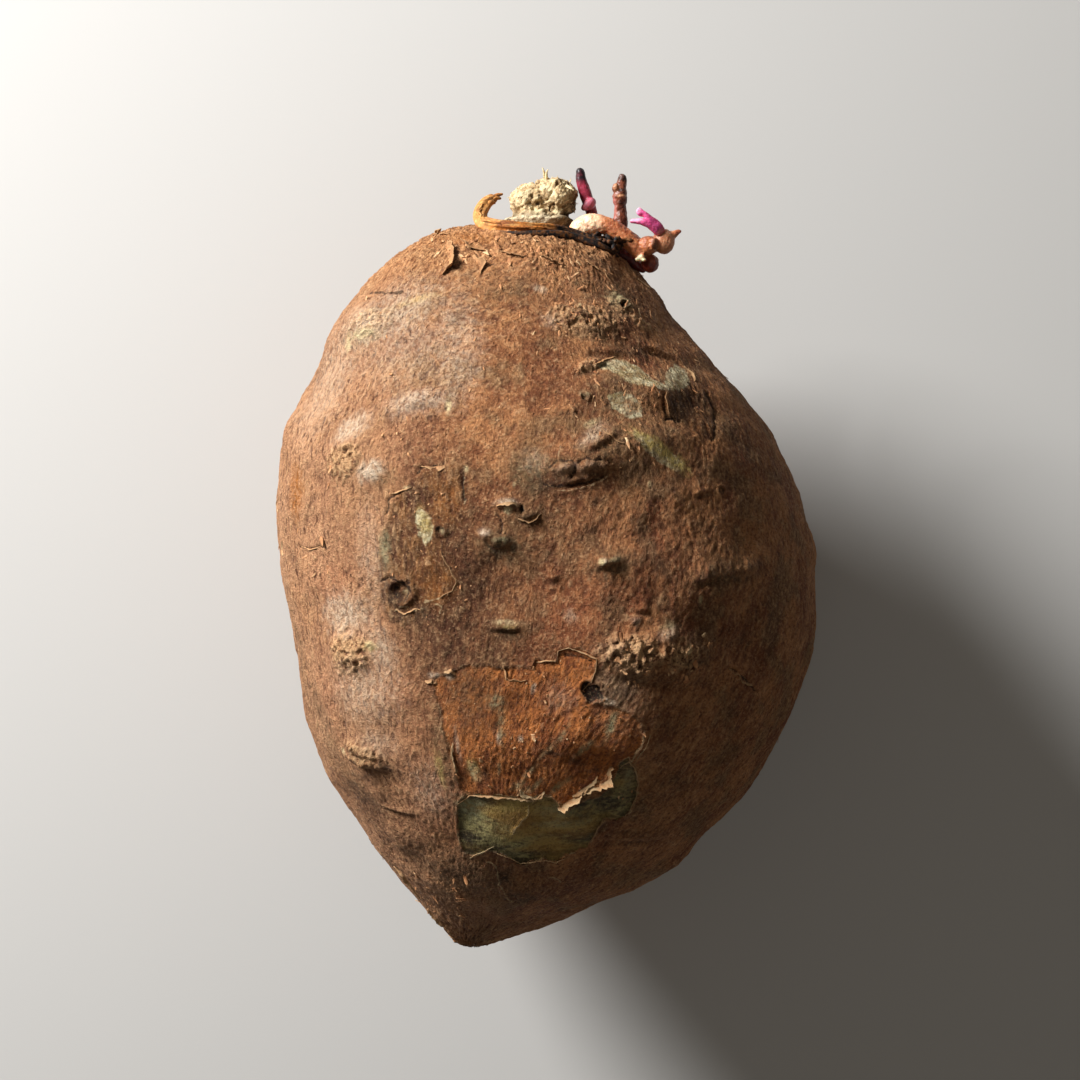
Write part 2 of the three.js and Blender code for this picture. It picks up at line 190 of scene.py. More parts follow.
# A tube along a smooth path, rounded off at both ends: points, quads and triangles.
def sweep(path, girth, sides=14, steps=48, flat=1.0, ridges=0.0, turns=0.0):
    path = np.array(path, float)
    knots = np.concatenate([[0], np.cumsum(np.linalg.norm(np.diff(path, axis=0), axis=1) ** 0.5)])
    fine = np.linspace(0, knots[-1], 400)
    way = np.stack([smoothThrough(knots, path[:, k])(fine) for k in range(3)], -1)
    run = np.concatenate([[0], np.cumsum(np.linalg.norm(np.diff(way, axis=0), axis=1))])
    ends = [min(0.45, girth[0] / run[-1]), min(0.45, girth[-1] / run[-1])]
    bend = 1 - np.cos(np.linspace(0, math.pi / 2, 6)[1:-1])
    share = np.concatenate([ends[0] * bend, np.linspace(ends[0], 1 - ends[1], steps),
                            1 - ends[1] * bend[::-1]])
    middle = np.stack([np.interp(share * run[-1], run, way[:, k]) for k in range(3)], -1)
    tangent = unit(np.stack([np.interp(share * run[-1], run, np.gradient(way[:, k], run))
                             for k in range(3)], -1))
    aside = unit(np.cross(tangent, [0.0, 0.0, 1.0]))
    above = np.cross(aside, tangent)
    close = np.minimum(np.clip(share / ends[0], 0, 1), np.clip((1 - share) / ends[1], 0, 1))
    radius = (smoothThrough(np.linspace(0, 1, len(girth)), girth)(share)
              * np.sqrt(1 - (1 - close) ** 2))
    angle = np.linspace(0, 2 * math.pi, sides, endpoint=False)
    wave = 1 + ridges * np.cos(angle * 5 + turns * share[:, None])
    ring = (np.cos(angle)[None, :, None] * aside[:, None]
            + flat * np.sin(angle)[None, :, None] * above[:, None])
    points = middle[:, None] + ring * (radius[:, None] * wave)[:, :, None]
    i, j = np.meshgrid(np.arange(len(share) - 1), np.arange(sides), indexing="ij")
    n = (j + 1) % sides
    quads = np.stack([i * sides + j, (i + 1) * sides + j, (i + 1) * sides + n,
                      i * sides + n], -1).reshape(-1, 4)
    points = np.concatenate([points.reshape(-1, 3), way[:1], way[-1:]])
    around, after = np.arange(sides), (np.arange(sides) + 1) % sides
    last, apex = (len(share) - 1) * sides, len(share) * sides
    caps = np.concatenate([np.stack([around, after, np.full(sides, apex)], -1),
                           np.stack([last + after, last + around, np.full(sides, apex + 1)], -1)])
    return points, quads, caps


noCaps = np.zeros((0, 3), int)


def lump(at, half, divisions=10, squareness=0.0):
    points, quads, _, _ = roundedCube(divisions)
    if squareness:
        points = points / np.abs(points).max(1, keepdims=True) ** squareness * 0.88
    return points * np.array(half) + np.array(at), quads, noCaps


def gather(shells):
    points, quads, caps, count = [], [], [], 0
    for p, q, c in shells:
        points.append(p)
        quads.append(q + count)
        caps.append(c + count)
        count += len(p)
    return np.concatenate(points), np.concatenate(quads), np.concatenate(caps)


def readAll(items, name, width, kind):
    out = np.empty(len(items) * width, kind)
    items.foreach_get(name, out)
    return out


# Melts closed shells into one skin of even small faces. Returns its points, normals and faces.
def meld(shells, voxel, soften=2):
    points, quads, caps = gather(shells)
    made = makeMesh("melding", points, [quads, caps], scale=1)
    remesh = made.modifiers.new("meld", "REMESH")
    remesh.mode, remesh.voxel_size = "VOXEL", voxel
    soft = made.modifiers.new("soften", "SMOOTH")
    soft.factor, soft.iterations = 0.5, soften
    mesh = bpy.data.meshes.new_from_object(
        made.evaluated_get(bpy.context.evaluated_depsgraph_get()))
    points = readAll(mesh.vertices, "co", 3, np.float32)
    normals = readAll(mesh.vertices, "normal", 3, np.float32)
    corners = readAll(mesh.loops, "vertex_index", 1, np.int32)
    starts = readAll(mesh.polygons, "loop_start", 1, np.int32)
    counts = readAll(mesh.polygons, "loop_total", 1, np.int32)
    faceSets = [corners[starts[counts == n][:, None] + np.arange(n)]
                for n in (3, 4) if (counts == n).any()]
    for used in (made.data, mesh):
        bpy.data.meshes.remove(used)
    return points.reshape(-1, 3).astype(float), normals.reshape(-1, 3), faceSets


# Small helpers for node trees.
def connect(tree, node, inputs):
    for name, value in inputs.items():
        if isinstance(value, bpy.types.NodeSocket):
            tree.links.new(value, node.inputs[name])
        else:
            node.inputs[name].default_value = value
    return node


def addNode(tree, kind, inputs=None, **settings):
    node = tree.nodes.new(kind)
    for name, value in settings.items():
        setattr(node, name, value)
    return connect(tree, node, inputs or {})


def place(tree, group, inputs):
    return addNode(tree, "ShaderNodeGroup", inputs, node_tree=group).outputs


def mixColour(tree, factor, first, second):
    return addNode(tree, "ShaderNodeMix", {0: factor, 6: first, 7: second},
                   data_type="RGBA").outputs[2]


def calculate(tree, operation, *values):
    return addNode(tree, "ShaderNodeMath", dict(enumerate(values)),
                   operation=operation).outputs[0]


def times(tree, first, *others):
    for other in others:
        first = calculate(tree, "MULTIPLY", first, other)
    return first


def ramp(tree, value, low, high, toLow=0.0, toHigh=1.0):
    return addNode(tree, "ShaderNodeMapRange",
                   {"Value": value, "From Min": low, "From Max": high, "To Min": toLow,
                    "To Max": toHigh}, interpolation_type="SMOOTHSTEP").outputs["Result"]


def noiseOf(tree, vector, scale, detail=3.0, roughness=0.55):
    return addNode(tree, "ShaderNodeTexNoise",
                   {"Vector": vector, "Scale": scale, "Detail": detail,
                    "Roughness": roughness}).outputs["Fac"]


def stretched(tree, vector, *amounts):
    return addNode(tree, "ShaderNodeVectorMath", {0: vector, 1: amounts},
                   operation="MULTIPLY").outputs[0]


def attribute(tree, name, output="Fac"):
    return addNode(tree, "ShaderNodeAttribute", attribute_name=name).outputs[output]


# A colour as seen on a screen, as the linear one that a shader takes.
def tone(red, green, blue):
    def one(c):
        c /= 255
        return c / 12.92 if c <= 0.04045 else ((c + 0.055) / 1.055) ** 2.4
    return (one(red), one(green), one(blue), 1)


def newGroup(name, inputs, outputs):
    tree = bpy.data.node_groups.new(name, "ShaderNodeTree")
    for title, kind, default in inputs:
        socket = tree.interface.new_socket(title, in_out="INPUT", socket_type=kind)
        if default is not None:
            socket.default_value = default
    for title, kind in outputs:
        tree.interface.new_socket(title, in_out="OUTPUT", socket_type=kind)
    return tree, tree.nodes.new("NodeGroupInput").outputs, tree.nodes.new("NodeGroupOutput")


# Colour that drifts between two tones in broad and fine patches.
def makeMottle():
    tree, given, result = newGroup(
        "mottle",
        [("Vector", "NodeSocketVector", None), ("Scale", "NodeSocketFloat", 100.0),
         ("Light Tone", "NodeSocketColor", (0.5, 0.3, 0.2, 1)),
         ("Dark Tone", "NodeSocketColor", (0.3, 0.15, 0.1, 1)),
         ("Contrast", "NodeSocketFloat", 0.2)],
        [("Colour", "NodeSocketColor")])
    broad = noiseOf(tree, given["Vector"], given["Scale"], detail=2.0)
    fine = noiseOf(tree, given["Vector"], times(tree, given["Scale"], 5.3), detail=4.0)
    both = calculate(tree, "ADD", times(tree, broad, 0.55), times(tree, fine, 0.45))
    mask = ramp(tree, both, calculate(tree, "SUBTRACT", 0.5, given["Contrast"]),
                calculate(tree, "ADD", 0.5, given["Contrast"]))
    connect(tree, result, {
        "Colour": mixColour(tree, mask, given["Dark Tone"], given["Light Tone"])})
    return tree


# Fine relief: soft grain with small open pores.
def makeGrain():
    tree, given, result = newGroup(
        "grain",
        [("Vector", "NodeSocketVector", None), ("Scale", "NodeSocketFloat", 1000.0),
         ("Pores", "NodeSocketFloat", 0.4)],
        [("Height", "NodeSocketFloat"), ("Pore Mask", "NodeSocketFloat")])
    soft = noiseOf(tree, given["Vector"], given["Scale"], detail=4.0, roughness=0.6)
    cells = addNode(tree, "ShaderNodeTexVoronoi",
                    {"Vector": given["Vector"], "Scale": times(tree, given["Scale"], 0.6)})
    chosen = ramp(tree, addNode(tree, "ShaderNodeSeparateColor",
                                {"Color": cells.outputs["Color"]}).outputs[0], 0.66, 0.72)
    pore = times(tree, ramp(tree, cells.outputs["Distance"], 0.34, 0.16), chosen)
    connect(tree, result, {
        "Height": calculate(tree, "SUBTRACT", soft, times(tree, pore, given["Pores"])),
        "Pore Mask": pore})
    return tree


mottle, grain = makeMottle(), makeGrain()


def mottled(tree, vector, scale, contrast, light, dark):
    return place(tree, mottle, {"Vector": vector, "Scale": scale, "Contrast": contrast,
                                "Light Tone": light, "Dark Tone": dark})["Colour"]


def newMaterial(name, roughness, specular=0.3, subsurface=0.0):
    material = bpy.data.materials.new(name)
    material.use_nodes = True
    tree = material.node_tree
    shader = tree.nodes["Principled BSDF"]
    shader.inputs["Roughness"].default_value = roughness
    shader.inputs["Specular IOR Level"].default_value = specular
    if subsurface:
        shader.inputs["Subsurface Weight"].default_value = subsurface
        shader.inputs["Subsurface Scale"].default_value = 0.0015
        shader.inputs["Subsurface Radius"].default_value = (1.0, 0.4, 0.25)
    return material, tree, shader


# Relief given in mm.
def bumpTo(tree, shader, height):
    node = addNode(tree, "ShaderNodeBump", {"Height": height, "Distance": mm})
    tree.links.new(node.outputs["Normal"], shader.inputs["Normal"])


def thicken(made, thick):
    modifier = made.modifiers.new("thickness", "SOLIDIFY")
    modifier.thickness, modifier.offset = thick * mm, 0


def finishPiece(made, slot, material, *nodes):
    made.data.materials.append(material)
    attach(made, "root")
    for node in nodes:
        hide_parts(node)


# The tuber's plain form: its length, its outline seen from above, and its depth, in mm.
tuber = {
    "tipY": -72, "crownY": 65.5, "tipX": -14.2, "crownX": -9, "tipWidth": 19, "crownWidth": 54,
    "depthShare": 0.86, "restSink": 0.45, "axisHeight": 43, "crownRise": 4, "tipDrop": -4,
    "divisions": 300,
    "outline": [
        (-70.3, -18.0, -7.6), (-67.5, -20.3, 0.2), (-63.7, -23.9, 8.9), (-59.9, -27.4, 17.9),
        (-52.3, -32.9, 27.6), (-44.7, -37.8, 35.5), (-37.1, -42.4, 40.7), (-29.5, -45.2, 45.0),
        (-14.3, -47.7, 50.2), (1.0, -50.6, 50.4), (16.2, -51.0, 46.9), (23.8, -50.0, 43.6),
        (31.4, -46.9, 38.4), (39.0, -43.2, 31.9), (46.6, -40.2, 24.9), (54.2, -34.0, 19.0),
        (60.8, -26.0, 11.4), (63.2, -21.5, 5.3),
    ],
}
tuberLength = tuber["crownY"] - tuber["tipY"]


def turnAt(y):
    return np.arccos(np.clip(1 - 2 * (y - tuber["tipY"]) / tuberLength, -1, 1))


middles = [(left + right) / 2 for _, left, right in tuber["outline"]]
reaches = [(right - left) / 2 / math.sin(turnAt(y)) for y, left, right in tuber["outline"]]
turns = [0, *(turnAt(y) for y, _, _ in tuber["outline"]), math.pi]
middleAt = smoothThrough(turns, [tuber["tipX"], *middles, tuber["crownX"]])
reachAt = smoothThrough(turns, [tuber["tipWidth"], *reaches, tuber["crownWidth"]])
heightAt = smoothThrough(
    [0, 0.9, 1.6, 2.4, math.pi],
    tuber["axisHeight"] + np.array([tuber["tipDrop"], -1, 0, 1, tuber["crownRise"]]))
floorHeight = (tuber["axisHeight"] - reachAt(math.pi / 2) * tuber["depthShare"]
               + tuber["restSink"])


def tuberPoint(direction):
    turn = np.arccos(np.clip(-direction[..., 1], -1, 1))
    reach = reachAt(turn)
    return np.stack([
        middleAt(turn) + reach * direction[..., 0],
        tuber["tipY"] + tuberLength * (1 + direction[..., 1]) / 2,
        heightAt(turn) + reach * tuber["depthShare"] * direction[..., 2] - floorHeight,
    ], -1)


def directionAbove(x, y):
    turn = turnAt(y)
    across = np.clip((x - middleAt(turn)) / reachAt(turn), -math.sin(turn), math.sin(turn))
    up = math.sqrt(max(0, math.sin(turn) ** 2 - across ** 2))
    return np.array([across, -math.cos(turn), up])


def directionRound(y, degrees):
    turn, around = turnAt(y), math.radians(degrees)
    return np.array([math.sin(turn) * math.cos(around), -math.cos(turn),
                     math.sin(turn) * math.sin(around)])


# The direction of the skin that the camera sees at a pixel of the photograph.
def seenAt(px, py):
    flat, height = flatPlace(px, py), 70.0
    for _ in range(12):
        nearer = 1 - (height - cameraLook["focusHeight"]) / cameraDistance
        x, y = cameraMiddle + (flat - cameraMiddle) * nearer
        direction = directionAbove(x, min(y, tuber["crownY"] - 0.3))
        height = (height + tuberPoint(direction)[2]) / 2
    return direction


# The middle of a mark on the tuber and its two directions there.
def markPlace(direction, turn):
    outward = unit(direction * np.array([1, 0.6, 1]))
    across = unit(np.cross([0, 1, 0], outward))
    along = unit(np.cross(outward, across))
    angle = math.radians(turn)
    return (tuberPoint(direction), math.cos(angle) * across + math.sin(angle) * along,
            math.cos(angle) * along - math.sin(angle) * across, outward)


# Broad swellings and hollows: x, y, rise, long, wide, turn. They lie as in the plain model,
# with a few of them a little lower, and the last three, which are soft and broad, are extra.
swellings = [
    (-34.9, 46.7, 1.4, 9, 7, 35), (-48.0, 26.4, 0.8, 6, 5, 0), (-22.2, 29.8, 1.1, 7, 5, 10),
    (-33.2, 19.7, 1.3, 8, 5, -10), (3.7, 18.3, 1.4, 11, 4.5, 6), (9.6, 45.6, 1.5, 11, 5, -6),
    (16.7, 32.6, 1.5, 13, 4.5, -14), (26.6, 30.7, -1.0, 6, 4.5, -10),
    (15.1, 23.5, 1.3, 12, 4.5, 14), (-5.9, 10.8, 0.7, 5, 2.6, -10), (-9.4, 5.4, 0.9, 5, 3.2, 0),
    (10.4, 1.7, 0.9, 5.5, 3.2, 0), (-8.0, -9.7, 0.8, 5, 2.6, 0), (-26.6, -3.5, -0.8, 4.5, 4, 0),
    (-36.0, -14.7, 1.6, 8, 6, 0), (18.7, -14.2, 2.5, 13, 5.5, -8), (14.5, -4.8, 1.4, 12, 9, 20),
    (34.4, -1.2, 1.0, 11, 5, 16), (-33.6, -34.0, 1.4, 8, 5, -16), (-32.4, -23.3, 0.9, 8, 5, 0),
    (8.5, -34.9, -0.9, 9, 3.5, -18), (0.0, -3.4, -1.2, 12, 9, 0), (0.0, -26.1, -0.7, 14, 9, 0),
    (50.0, 4.6, 1.0, 6, 4, 70), (46.0, -24.7, 0.8, 6, 4, 60), (23.8, -54.9, 0.8, 7, 4, 30),
    (-27.7, -49.4, 0.9, 6, 4, -20), (-10.0, -4.5, -2.1, 11, 18, 0), (16.0, -26.5, 3.0, 12, 12, 0),
    (27.0, -4.0, 1.6, 10, 13, 0),
]
# The underside's scars lie on a turning spiral, as the plain model's do.
lowerScars = {"count": 11, "fromY": -52, "stepY": 10.4, "turnStep": 137.5, "turnStart": 196,
              "turnSpan": 148, "rise": 1.1, "long": 8, "wide": 4}


def lowerMarks():
    for k in range(lowerScars["count"]):
        around = lowerScars["turnStart"] + (k * lowerScars["turnStep"]) % lowerScars["turnSpan"]
        size = 0.8 + 0.4 * math.sin(k * 2.3)
        direction = directionRound(lowerScars["fromY"] + k * lowerScars["stepY"], around)
        yield direction, size, 12 * math.sin(k * 1.7)


def swellingHeight(points):
    total = np.zeros(len(points))
    marks = [(directionAbove(x, y), rise, long, wide, turn)
             for x, y, rise, long, wide, turn in swellings]
    marks += [(d, lowerScars["rise"] * s, lowerScars["long"] * s, lowerScars["wide"] * s, t)
              for d, s, t in lowerMarks()]
    for direction, rise, long, wide, turn in marks:
        middle, lengthways, sideways, outward = markPlace(direction, turn)
        away = points - middle
        spread = ((away @ lengthways / long) ** 2 + (away @ sideways / wide) ** 2
                  + (away @ outward / (long + wide)) ** 2)
        total += rise * np.exp(-spread * 1.4)
    return total


# Root scars by kind: pixel, half length and half width in mm, rise in mm, turn. A brow is a
# ridge with a crease under it, a cork scar is rough and pitted, and a crater is a ring.
scars = {
    "brow": [
        (562, 470, 4.4, 1.8, 0.4, 4), (590, 466, 3.8, 1.7, 0.4, 8),
        (575, 482, 6.0, 0.7, 0.5, 10), (507, 506, 2.4, 0.9, 0.7, -8),
        (530, 517, 2.0, 0.5, 0.5, 14), (496, 540, 2.7, 1.3, 0.4, -6),
        (605, 563, 2.9, 1.3, 0.4, 4), (505, 628, 3.4, 0.9, 0.7, -3),
        (645, 674, 7.0, 1.4, 0.6, -8), (693, 652, 4.6, 1.6, 0.6, -8),
        (700, 577, 3.6, 1.3, 0.6, 14), (742, 570, 5.0, 1.2, 0.5, 10),
        (362, 748, 4.8, 1.0, 0.7, -18), (370, 762, 4.4, 0.8, 0.7, -16),
        (398, 810, 3.6, 0.7, 0.5, -12), (640, 836, 7.5, 1.6, 0.4, 4),
        (588, 366, 4.0, 1.0, 0.5, 22), (600, 440, 5.0, 1.2, 0.6, 30),
        (600, 350, 6.0, 1.3, 0.5, 0), (345, 447, 4.5, 0.9, 0.6, 4),
        (660, 300, 4.0, 2.0, 0.5, -40), (308, 548, 2.6, 0.5, 0.4, 4),
        (640, 608, 1.6, 1.1, 0.5, 0), (552, 577, 1.4, 1.0, 0.5, 0),
        (700, 492, 2.6, 0.8, 0.3, 10), (570, 410, 2.0, 0.9, 0.4, -10),
        (655, 350, 4.0, 1.0, 0.5, -20), (420, 402, 3.4, 1.4, 0.5, 6),
    ],
    "knob": [
        (562, 471, 2.3, 1.2, 0.45, 4), (587, 469, 2.3, 1.2, 0.4, 8),
        (606, 468, 1.6, 0.9, 0.4, 8), (484, 534, 1.2, 0.9, 1.0, 0),
        (499, 540, 2.0, 1.0, 0.5, -6), (507, 500, 1.8, 0.7, 0.5, -4),
        (601, 564, 0.8, 0.7, 0.7, 0), (612, 561, 1.4, 0.7, 0.3, 10),
        (632, 620, 1.2, 0.9, 0.6, 0), (662, 634, 2.4, 1.4, 0.6, 10),
    ],
    "cork": [
        (583, 322, 7.2, 3.8, 0.6, -14), (630, 652, 6.4, 4.0, 1.0, -4),
        (673, 656, 4.6, 2.8, 0.7, -12), (353, 652, 5.4, 4.2, 0.6, 0),
        (346, 463, 5.4, 3.4, 0.55, 0), (374, 322, 6.0, 3.0, 0.35, 24),
        (366, 752, 5.0, 2.4, 0.5, -18), (620, 305, 2.8, 2.6, 0.6, 0),
        (590, 366, 3.0, 1.2, 0.5, 20), (640, 325, 3.4, 1.6, 0.4, -20),
    ],
    "crater": [
        (400, 591, 2.5, 2.2, 0.8, 0), (440, 530, 1.0, 0.9, 0.4, 0),
        (721, 490, 0.9, 0.9, 0.25, 0), (622, 307, 1.0, 0.9, 0.6, 0),
        (584, 398, 0.8, 0.7, 0.5, 0),
    ],
}

